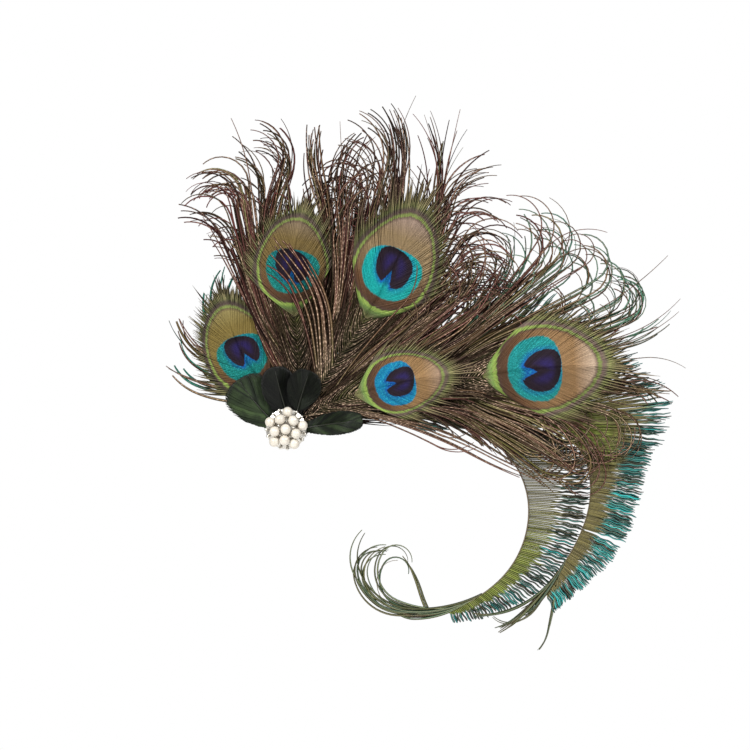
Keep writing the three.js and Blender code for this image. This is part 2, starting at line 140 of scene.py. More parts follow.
world = bpy.data.worlds.new("pale_room")
world.use_nodes = True
scene.world = world
room = world.node_tree.nodes["Background"]
room.inputs["Color"].default_value = (1, 1, 1, 1)
seen = world.node_tree.nodes.new("ShaderNodeLightPath")
strength = world.node_tree.nodes.new("ShaderNodeMapRange")
strength.inputs["To Min"].default_value = FILL
strength.inputs["To Max"].default_value = 1.0
world.node_tree.links.new(seen.outputs["Is Camera Ray"], strength.inputs["Value"])
world.node_tree.links.new(strength.outputs["Result"], room.inputs["Strength"])
print("lights:", len(bpy.data.lights))


# %% [markdown]
# ## Recipes for finishes
# Every finish below is a small node tree, written as a recipe. A value in it stands for a number or a colour
# that changes from place to place. It is added, multiplied and stepped like a plain number, or it mixes two
# colours, and each of these adds one node.

# %% Values
def srgb(red, green, blue):
    """A colour as it is read off a screen, from 0 to 255, as the linear colour that nodes take."""
    screen = np.array([red, green, blue]) / 255
    linear = np.where(screen <= 0.04045, screen / 12.92, ((screen + 0.055) / 1.055) ** 2.4)
    return (*(float(value) for value in linear), 1.0)


def wired(tree, node, inputs, output=0):
    """Links or sets the inputs of a node, and gives back one of its outputs as a value."""
    for name, value in inputs.items():
        if isinstance(value, Value):
            tree.links.new(value.socket, node.inputs[name])
        else:
            node.inputs[name].default_value = value
    return Value(tree, node.outputs[output])


class Value:
    """A number or a colour that changes from place to place."""

    def __init__(self, tree, socket):
        self.tree = tree
        self.socket = socket

    def maths(self, operation, other=0.0):
        node = self.tree.nodes.new("ShaderNodeMath")
        node.operation = operation
        return wired(self.tree, node, {0: self, 1: other})

    def __add__(self, other):
        return self.maths("ADD", other)

    def __sub__(self, other):
        return self.maths("SUBTRACT", other)

    def __mul__(self, other):
        return self.maths("MULTIPLY", other)

    def __abs__(self):
        return self.maths("ABSOLUTE")

    def step(self, low, high, bottom=0.0, top=1.0):
        """A soft step between two values; low may be above high for a falling step."""
        node = self.tree.nodes.new("ShaderNodeMapRange")
        node.interpolation_type = "SMOOTHSTEP"
        ends = {"From Min": low, "From Max": high, "To Min": bottom, "To Max": top}
        return wired(self.tree, node, {"Value": self, **ends}, "Result")

    def mix(self, first, second):
        """The first colour where the value is 0, and the second where it is 1."""
        node = self.tree.nodes.new("ShaderNodeMix")
        node.data_type = "RGBA"
        return wired(self.tree, node, {0: self, 6: first, 7: second}, 2)

    def ramp(self, stops):
        """Colours along the value: a list of (place, colour)."""
        node = self.tree.nodes.new("ShaderNodeValToRGB")
        elements = node.color_ramp.elements
        while len(elements) < len(stops):
            elements.new(0.5)
        for element, (place, colour) in zip(elements, stops):
            element.position = place
            element.color = colour
        return wired(self.tree, node, {"Fac": self}, "Color")

    def toned(self, tone):
        """The colour made darker below a tone of 1 and lighter above it."""
        node = self.tree.nodes.new("ShaderNodeHueSaturation")
        return wired(self.tree, node, {"Color": self, "Value": tone}, "Color")


# %% Finishes
class Finish:
    """A material, and the values that its recipe can start from."""

    def __init__(self, name):
        self.material = bpy.data.materials.new(name)
        self.material.use_nodes = True
        self.tree = self.material.node_tree

    def stored(self, name):
        """A value that is stored on the mesh, vertex by vertex."""
        node = self.tree.nodes.new("ShaderNodeAttribute")
        node.attribute_name = name
        return Value(self.tree, node.outputs["Fac"])

    def noise(self, scale, detail=3.0, place=None):
        """Even noise in the object's own coordinates; scale is in blobs a metre."""
        node = self.tree.nodes.new("ShaderNodeTexNoise")
        inputs = {"Vector": place or self.place(), "Scale": scale, "Detail": detail}
        return wired(self.tree, node, inputs, "Fac")

    def place(self):
        return Value(self.tree, self.tree.nodes.new("ShaderNodeTexCoord").outputs["Object"])

    def settle(self, inputs, height, strength, depth=0.0001):
        """Gives the shader its inputs, and relief from a height; the depth is in metres."""
        node = self.tree.nodes.new("ShaderNodeBump")
        relief = {"Height": height, "Strength": strength, "Distance": depth}
        inputs["Normal"] = wired(self.tree, node, relief, "Normal")
        wired(self.tree, self.tree.nodes["Principled BSDF"], inputs)
        return self.material


# %% [markdown]
# ## The floor
# The clip is worn and never set down, so the floor only gives the views from other sides some ground. It
# lies so far down that it stays out of the picture from the front. A flat disc of pale paper is enough, and
# it is declared as stage, so it is no piece of the clip.

# %% Floor
FLOOR_BELOW = 450
FLOOR_RADIUS = 1400

bpy.ops.mesh.primitive_circle_add(
    vertices=96, radius=FLOOR_RADIUS * MM, fill_type="NGON", location=(0, 0, -FLOOR_BELOW * MM)
)
floor = bpy.context.active_object
floor.name = "floor"
paper = Finish("pale_paper")
shade = paper.noise(40).mix(srgb(238, 237, 234), srgb(246, 245, 243))
wired(paper.tree, paper.tree.nodes["Principled BSDF"], {"Base Color": shade, "Roughness": 0.9})
floor.data.materials.append(paper.material)
floor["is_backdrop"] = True
print("floor at", -FLOOR_BELOW, "mm")

# %% [markdown]
# ## One barb
# A barb is a thin ribbon with a raised vein in front. Blender's own hair would be quicker to comb, but the
# exported model needs faces. So we give a barb three edges: left, vein and right. Ring by ring along a
# centre line they make a closed three-sided thread, which takes light on two faces and has a dull back.
# Numpy makes thousands of them at once: the arrays are barbs by rings by edges.

# %% Threads from centre lines
EDGE_SIDES = np.array([-1.0, 0.0, 1.0])
RIDGE_SHARE = 0.35


def thread_edges(points, width, ridge, twist):
    """The three edges of each thread, turned about its own centre line by the twist."""
    along = np.gradient(points, axis=1)
    along /= np.linalg.norm(along, axis=2, keepdims=True)
    side = np.cross(along, FRONT)
    side /= np.linalg.norm(side, axis=2, keepdims=True)
    face = np.cross(side, along)
    turn_cos, turn_sin = np.cos(twist)[..., None], np.sin(twist)[..., None]
    half = (side * turn_cos + face * turn_sin) * width[..., None] / 2
    lift = (face * turn_cos - side * turn_sin) * ridge[..., None]
    return np.stack([points - half, points + lift, points + half], axis=2)


def family(points, width, ridge=None, twist=0.0, front=0, back=1, fields=None, **looks):
    """A family of barbs of equal ring count, with the values that its finish reads."""
    shape = points.shape[:2]
    width = np.broadcast_to(width, shape)
    ridge = RIDGE_SHARE * width if ridge is None else np.broadcast_to(ridge, shape)
    edges = thread_edges(points, width, ridge, np.broadcast_to(twist, shape))
    stride = np.linalg.norm(np.diff(points, axis=1), axis=2)
    looks["run"] = np.pad(np.cumsum(stride, axis=1), ((0, 0), (1, 0)))
    looks["along"] = looks["run"] / looks["run"][:, -1:]
    values = {"side": np.broadcast_to(EDGE_SIDES, edges.shape[:3])}
    for name, value in looks.items():
        value = np.asarray(value, float)
        value = value[:, None] if value.ndim == 1 else value
        values[name] = np.broadcast_to(np.broadcast_to(value, shape)[..., None], edges.shape[:3])
    if fields is not None:
        values.update(fields(edges[..., 0], edges[..., 2]))
    return {"edges": edges, "values": values, "front": front, "back": back}


# %% [markdown]
# ## Many barbs in one mesh
# Separate objects would be slow, so each feather is one mesh. A map named OFBake gives each barb a strip of
# its own, so that the colours can be painted to a picture later without two barbs sharing a place.

# %% Threads to a mesh
STRIP_MARGIN = 0.06
NEXT_EDGE = [1, 2, 0]


def family_faces(group, base, first, columns, rows):
    """Four-sided faces and end caps of a family, with their places on the map and their finishes."""
    count, rings = group["edges"].shape[:2]
    order = first + np.arange(count)
    wide, high = (1 - 2 * STRIP_MARGIN) / columns, (1 - 2 * STRIP_MARGIN) / rows
    left, bottom = (order % columns + STRIP_MARGIN) / columns, (order // columns + STRIP_MARGIN) / rows
    number = base + np.arange(count * rings * 3).reshape(count, rings, 3)
    low, up = number[:, :-1], number[:, 1:]
    quads = np.stack([low, low[..., NEXT_EDGE], up[..., NEXT_EDGE], up], axis=-1)
    near = left[:, None, None] + wide * np.arange(3) / 3
    across = np.stack([near, near + wide / 3, near + wide / 3, near], axis=-1)
    climb = bottom[:, None, None] + high * np.linspace(0, 1, rings)[:, None]
    below, above = climb[:, :-1], climb[:, 1:]
    upward = np.stack([below, below, above, above], axis=-1)
    quad_places = np.stack(np.broadcast_arrays(across, upward), axis=-1)
    caps = np.concatenate([number[:, 0, [0, 2, 1]], number[:, -1]])
    cap_u = np.stack([left, left + wide / 3, left + wide / 6], axis=-1)
    cap_v = np.stack([bottom, bottom, bottom + high / rings], axis=-1)
    cap_places = np.tile(np.stack([cap_u, cap_v], axis=-1), (2, 1, 1))
    quad_slots = np.tile([group["front"], group["front"], group["back"]], count * (rings - 1))
    return quads.reshape(-1, 4), caps, quad_places, cap_places, quad_slots, np.full(2 * count, group["front"])


def thread_mesh(name, families, finishes):
    """One mesh object from several families of barbs."""
    total = sum(len(group["edges"]) for group in families)
    columns = math.ceil(math.sqrt(total * 3))
    rows = math.ceil(total / columns)
    base = first = 0
    made = []
    for group in families:
        made.append(family_faces(group, base, first, columns, rows))
        base += group["edges"].size // 3
        first += len(group["edges"])
    parts = list(zip(*made))
    quads, caps = np.concatenate(parts[0]), np.concatenate(parts[1])
    corners, places, slots = (
        np.concatenate([part.ravel() for part in parts[kind] + parts[kind + 1]]) for kind in (0, 2, 4)
    )
    starts = np.concatenate([np.arange(len(quads)) * 4, len(quads) * 4 + np.arange(len(caps)) * 3])
    points = np.concatenate([group["edges"].reshape(-1, 3) for group in families]) * MM
    mesh = bpy.data.meshes.new(name)
    mesh.vertices.add(len(points))
    mesh.vertices.foreach_set("co", points.astype(np.float32).ravel())
    mesh.loops.add(len(corners))
    mesh.loops.foreach_set("vertex_index", corners.astype(np.int32))
    mesh.polygons.add(len(starts))
    mesh.polygons.foreach_set("loop_start", starts.astype(np.int32))
    mesh.polygons.foreach_set("material_index", slots.astype(np.int32))
    mesh.update(calc_edges=True)
    mesh.uv_layers.new(name="OFBake").data.foreach_set("uv", places.astype(np.float32))
    for key in sorted({key for group in families for key in group["values"]}):
        values = [group["values"].get(key, np.zeros(group["edges"].shape[:3])).ravel() for group in families]
        layer = mesh.attributes.new(key, "FLOAT", "POINT")
        layer.data.foreach_set("value", np.concatenate(values).astype(np.float32))
    print(name, "barbs:", total, "triangles:", 2 * len(quads) + len(caps))
    return shown(name, mesh, finishes)


def shown(name, mesh, finishes):
    """Puts a smooth mesh with its finishes into the scene."""
    mesh.shade_smooth()
    for finish in finishes:
        mesh.materials.append(finish)
    piece = bpy.data.objects.new(name, mesh)
    scene.collection.objects.link(piece)
    return piece


# %% [markdown]
# ## Shafts and sheets
# A shaft is a chain of arcs, given by length and by the lean at the end of each arc. The feathers lie in
# sheets, one in front of another, which leave the pad together and bow towards the front as they spread.

# %% Shafts and sheets
QUILL_Y = -4.7
SHEET_RISE_FROM = 8
SHEET_RISE_TO = 28
SHEET_PITCH = 2.7
SHEET_SPREAD = 0.016
BOW_DEPTH = 8
BOW_RADIUS = 150


def in_sheet(sheet, x, z, level):
    """Points of a sheet at places in the fan; a positive level lies behind the sheet."""
    reach = np.hypot(x, z)
    rise = sheet * (SHEET_PITCH * smooth(reach, SHEET_RISE_FROM, SHEET_RISE_TO) + SHEET_SPREAD * reach)
    return np.stack([x, QUILL_Y - rise - BOW_DEPTH * (reach / BOW_RADIUS) ** 2 + level, z], axis=-1)


def shaft_path(start, sections):
    """Stations about a millimetre apart along a chain of arcs."""
    x, z, lean = start
    stations = [(x, z, lean, 0.0)]
    for length, end_lean in sections:
        count = math.ceil(length)
        begin, travelled = stations[-1][2:]
        for i in range(1, count + 1):
            way = math.radians(begin + (end_lean - begin) * (i - 0.5) / count)
            x += math.sin(way) * length / count
            z += math.cos(way) * length / count
            stations.append((x, z, begin + (end_lean - begin) * i / count, travelled + length * i / count))
    return dict(zip(("x", "z", "lean", "along"), np.array(stations).T))


def on_shaft(path, along, key):
    return np.interp(along, path["along"], path[key])


def beside_shaft(path, x, z, low, high):
    """The distance along a stretch of the shaft and to its right, for points of the fan."""
    near = (path["along"] > low) & (path["along"] < high)
    px, pz, lean, along = (path[key][near] for key in ("x", "z", "lean", "along"))
    flat_x, flat_z = x.ravel(), z.ravel()
    closest = np.argmin((flat_x[:, None] - px) ** 2 + (flat_z[:, None] - pz) ** 2, axis=1)
    way = np.radians(lean[closest])
    dx, dz = flat_x - px[closest], flat_z - pz[closest]
    ahead = along[closest] + dx * np.sin(way) + dz * np.cos(way)
    right = dx * np.cos(way) - dz * np.sin(way)
    return ahead.reshape(x.shape), right.reshape(x.shape)


# %% Centre lines
def walk(root_x, root_z, lengths, leans, shares, rings, ease=1.0):
    """Centre lines of many barbs in the plane of the fan. Leans are given at shares of the length.
    An ease above 1 puts more rings near the tip, where barbs curl."""
    marks = 1 - (1 - np.linspace(0, 1, rings)) ** ease
    middles = (marks[1:] + marks[:-1]) / 2
    weights = np.stack([np.interp(middles, shares, unit) for unit in np.eye(len(shares))])
    way = np.radians(leans @ weights)
    stride = np.broadcast_to(lengths, len(way))[:, None] * np.diff(marks)
    x, z = (
        root[:, None] + np.pad(np.cumsum(part * stride, axis=1), ((0, 0), (1, 0)))
        for root, part in ((root_x, np.sin(way)), (root_z, np.cos(way)))
    )
    return x, z, marks


def from_shaft(path, roots, lengths, leans, shares, rings, ease=1.0):
    """Centre lines of barbs that leave a shaft."""
    return walk(on_shaft(path, roots, "x"), on_shaft(path, roots, "z"), lengths, leans, shares, rings, ease)


def both_sides(low, high, pitch):
    """Roots in pairs along a shaft, and -1 for the left barb and 1 for the right barb of a pair."""
    roots = np.repeat(np.arange(low, high, pitch), 2)
    return roots, np.tile([-1, 1], len(roots) // 2)


def cut_off(x, z, outside, least, rings):
    """Centre lines with even stations, cut off at the first one outside and given even rings."""
    outside[:, :least] = False
    outside[:, -1] = True
    place = np.argmax(outside, axis=1)[:, None] * np.linspace(0, 1, rings)
    low = np.minimum(place.astype(int), x.shape[1] - 2)
    share = place - low
    row = np.arange(len(x))[:, None]
    return tuple(line[row, low] * (1 - share) + line[row, low + 1] * share for line in (x, z))


# %% [markdown]
# ## The finish of loose barbs
# A loose barb is dark brown with a pale vein, on which a highlight is painted in beads, where its fine hairs
# would turn to the light.
# Some barbs are olive, and some end in teal. The mesh stores how far along a barb a point lies, which side
# of the vein it is on, and a tint for each barb, and the recipe turns these values into colour.

# %% Parts of a barb's recipe
HAIR_PITCH = 0.35
HAIR_SLANT = 0.5
BEADS_PER_MM = 0.55
BEADS_APART = 900.0


def off_vein(look):
    """0 on the vein and 1 at the sides."""
    return abs(look.stored("side"))


def tinted(look, bottom, top):
    """A number that goes from bottom to top with the barb's own tint."""
    return look.stored("tint").step(0, 1, bottom, top)


def side_hairs(look):
    """Fine slanted stripes on both sides of the vein."""
    place = look.stored("run") + off_vein(look) * HAIR_SLANT
    return (place * (2 * math.pi / HAIR_PITCH)).maths("SINE") * 0.5 + 0.5


def vein_line(look, wide):
    """1 on the vein and 0 towards the sides, weighed by the barb's own share."""
    return off_vein(look).step(wide, 0.1) * look.stored("vein")


def beads(look):
    """A painted highlight that comes and goes along a barb, at other places on each barb."""
    node = look.tree.nodes.new("ShaderNodeTexNoise")
    node.noise_dimensions = "1D"
    place = look.stored("run") + look.stored("tint") * BEADS_APART + off_vein(look)
    return wired(look.tree, node, {"W": place, "Scale": BEADS_PER_MM, "Detail": 1.0}, "Fac").step(0.42, 0.7)


def tone_and_edge_shade(look, dark, pale):
    """A tone by tint and hairs, with painted shade towards the sides, so that close barbs stay apart to the
    eye.
    """
    # The sides of each barb are painted darker, as shade between close barbs.
    sides = off_vein(look).step(0.3, 0.95, 1.0, 0.22)
    return tinted(look, dark, pale) * side_hairs(look).step(0, 1, 0.85, 1.1) * sides


# %% Loose barb finish
def herl_finish(name, root, middle, tip, vein, green, teal):
    look = Finish(name)
    along = look.stored("along")
    colour = along.ramp([(0.0, root), (0.4, middle), (1.0, tip)])
    colour = look.stored("green").mix(colour, green)
    colour = (look.stored("teal") * along.step(0.5, 0.8)).mix(colour, teal)
    # The pale vein is the barb's own colour; it is brightened in beads as a painted highlight.
    painted_vein_highlight = (beads(look) * 0.85 + 0.03).maths("MAXIMUM", look.stored("plain"))
    colour = (vein_line(look, 0.34) * painted_vein_highlight).mix(colour.toned(tone_and_edge_shade(look, 0.22, 1.5)), vein)
    inputs = {"Base Color": colour, "Roughness": tinted(look, 0.55, 0.4), "Specular IOR Level": 0.08}
    return look.settle(inputs, side_hairs(look), 0.15)


def dull_finish(name, base, pale):
    """The back of a feather: grey brown, with only the tint of each barb."""
    look = Finish(name)
    colour = look.stored("tint").mix(base, pale).toned(look.noise(900).step(0.2, 0.8, 0.75, 1.2))
    return look.settle({"Base Color": colour, "Roughness": 0.6}, side_hairs(look), 0.1)


def quill_finish(name, dark, pale):
    """A shaft is horn: streaked along its length, with a soft polish."""
    look = Finish(name)
    streak = look.noise(700).step(0.3, 0.7)
    colour = (streak * off_vein(look)).mix(pale, dark)
    return look.settle({"Base Color": colour, "Roughness": 0.35}, streak, 0.1)


herl = herl_finish(
    "brown_herl", srgb(46, 43, 27), srgb(70, 42, 36), srgb(86, 45, 44),
    srgb(240, 204, 176), srgb(88, 92, 46), srgb(14, 122, 104),
)
feather_back = dull_finish("feather_back", srgb(66, 54, 42), srgb(116, 98, 78))
quill = quill_finish("brown_quill", srgb(40, 32, 24), srgb(96, 80, 62))
print("barb finishes:", herl.name, feather_back.name, quill.name)

# %% [markdown]
# ## The eye's pattern
# The eye is not paint: each barb changes colour along its length, and the colours line up. We store, for
# each vertex, how far inside each of three nested shapes it lies: the egg-shaped ring, the blue patch and
# the heart with its notch. The value is 1 on the edge of the shape, so the recipe can draw a sharp edge
# between two rings of vertices.

# %% Eye shapes
EYE_EGG = 0.16
EYE_REACH = 12
BLUE_PATCH = {"middle": 0.45, "below": 0.33, "above": 0.195, "half": 0.79}
HEART = {"middle": 0.49, "below": 0.235, "above": 0.145, "half": 0.51}
NOTCH_TOP = 0.42
NOTCH_BOTTOM = 0.26
NOTCH_EDGE = 3
HEART_SKEW = 0.07
PATCH_POWER = 2.3


def patch_field(a, b, middle, below, above, half):
    """1 on the edge of a rounded patch that reaches further below its widest place than above it."""
    height = np.where(a < middle, (middle - a) / below, (a - middle) / above)
    return (np.abs(height) ** PATCH_POWER + np.abs(b / half) ** PATCH_POWER) ** (1 / PATCH_POWER)


def eye_place(path, eye, x, z):
    """How far along the eye a point lies, from 0 at its base to 1 at its tip, and across, 1 at its side."""
    along, across = beside_shaft(path, x, z, eye["base"] - EYE_REACH, eye["base"] + eye["length"] + EYE_REACH)
    return (along - eye["base"]) / eye["length"], across / (eye["width"] / 2)


def ring_field(a, b):
    egg = b / (1 + EYE_EGG * (1 - 2 * np.clip(a, -0.3, 1.3)))
    return np.hypot(2 * a - 1, egg)


def eye_fields(path, eye):
    """The stored values of an eye, for points given by x and z."""

    def fields(x, z):
        a, b = eye_place(path, eye, x, z)
        b_heart = b - eye["heart_shift"]
        notch = eye["notch"] * (NOTCH_TOP - a) / (NOTCH_TOP - NOTCH_BOTTOM)
        heart = patch_field(a + HEART_SKEW * b_heart, b_heart, **HEART)
        heart = np.maximum(heart, 1 + NOTCH_EDGE * (notch - np.abs(b_heart)))
        blue = patch_field(a, b, **BLUE_PATCH)
        return {"eye_a": a, "eye_b": b, "ring": ring_field(a, b), "blue": blue, "heart": heart}

    return fields


# %% Eye finish
EDGE = 0.03
RING_GREEN = srgb(130, 152, 74)
FRINGE_WIDTH = 1.4


def eye_finish(name, lift, blue, deep_blue, bronze, rose):
    """The colours of one eye, laid over each other from the outside in. The lift lightens the fringe."""
    look = Finish(name)
    jitter = (look.stored("tint") - 0.5) * 0.03
    ring, patch, heart = (look.stored(shape) + jitter for shape in ("ring", "blue", "heart"))
    a, b = look.stored("eye_a"), abs(look.stored("eye_b"))
    colour = (ring - 1.0).maths("DIVIDE", FRINGE_WIDTH).ramp([
        (0.0, srgb(86, 82, 56)), (0.05, srgb(82, 66, 62)), (0.1, srgb(72, 64, 54)), (0.15, srgb(86, 90, 52)),
        (0.24, srgb(72, 68, 43)), (0.42, srgb(56, 41, 34)),
    ])
    colour = (a.step(0.26, -0.02) * ring.step(1.24, 1.02)).mix(colour, srgb(94, 122, 60))
    inside = a.ramp([
        (0.0, srgb(72, 52, 40)), (0.22, srgb(96, 68, 46)), (0.55, bronze), (0.76, bronze), (0.94, rose),
    ])
    inside = ring.step(0.9, 0.98, 0.0, 0.75).mix(inside, srgb(80, 62, 56))
    colour = ring.step(1.0, 1.0 - EDGE).mix(colour, inside)
    line = ring.step(0.965, 1.0) * ring.step(1.08, 1.02) * a.step(0.9, 0.1, 0.5, 1.0)
    colour = line.mix(colour, RING_GREEN)
    rim = patch.step(0.72, 0.4).mix(blue, deep_blue)
    rim = heart.step(1.3, 1.05, 0.0, 0.4).mix(rim, deep_blue)
    rim = look.noise(1300, 2.0).step(0.45, 0.7, 0.0, 0.3).mix(rim, srgb(64, 204, 206))
    colour = patch.step(1.0 + EDGE, 1.0 - EDGE).mix(colour, rim)
    glow = heart.step(1.15, 1.01).mix(rim, srgb(16, 88, 164))
    glow = (a.step(0.46, 0.34) * b.step(0.32, 0.12)).mix(rim, glow)
    colour = patch.step(0.97, 0.9).mix(colour, glow)
    dark = heart.step(0.2, 0.8).mix(srgb(42, 33, 88), srgb(36, 26, 36))
    dark = a.step(0.54, 0.64).mix(dark, srgb(24, 17, 24))
    colour = heart.step(1.0 + EDGE, 1.0 - EDGE).mix(colour, dark)
    tone = tinted(look, 0.9, 1.12) * look.stored("shade")
    tone = tone * look.noise(1500, 2.0).step(0.3, 0.7, 0.88, 1.12) * side_hairs(look).step(0, 1, 0.9, 1.08)
    # Outside the ring the sides of each barb are painted darker, as shade between the loose fringe barbs.
    tone = tone * (ring.step(1.04, 1.2) * off_vein(look)).step(0.2, 0.95, 1.0, 0.25)
    tone = tone * ring.step(1.0, 1.12, 1.0, lift)
    streak = vein_line(look, 0.5) * ring.step(1.06, 1.3, 0.0, 0.7)
    inputs = {
        "Base Color": streak.mix(colour.toned(tone), srgb(166, 152, 112)),
        "Metallic": ring.step(1.05, 0.95, 0.0, 0.2),
        "Roughness": tinted(look, 0.55, 0.45),
        "Specular IOR Level": 0.14,
    }
    return look.settle(inputs, side_hairs(look), 0.12)


# %% [markdown]
# ## The five eye feathers
# Each feather has a shaft, an eye and rows of loose locks. A row gives where a lock leaves the shaft, how
# long it is, its lean at the root, at two places on the way and at the tip, and how many barbs it has. So a
# row can sweep or curl. Barbs of one row start like their neighbours and gather towards the tip. A stray is
# a row of one or two barbs that leave the others, and it also has a width.

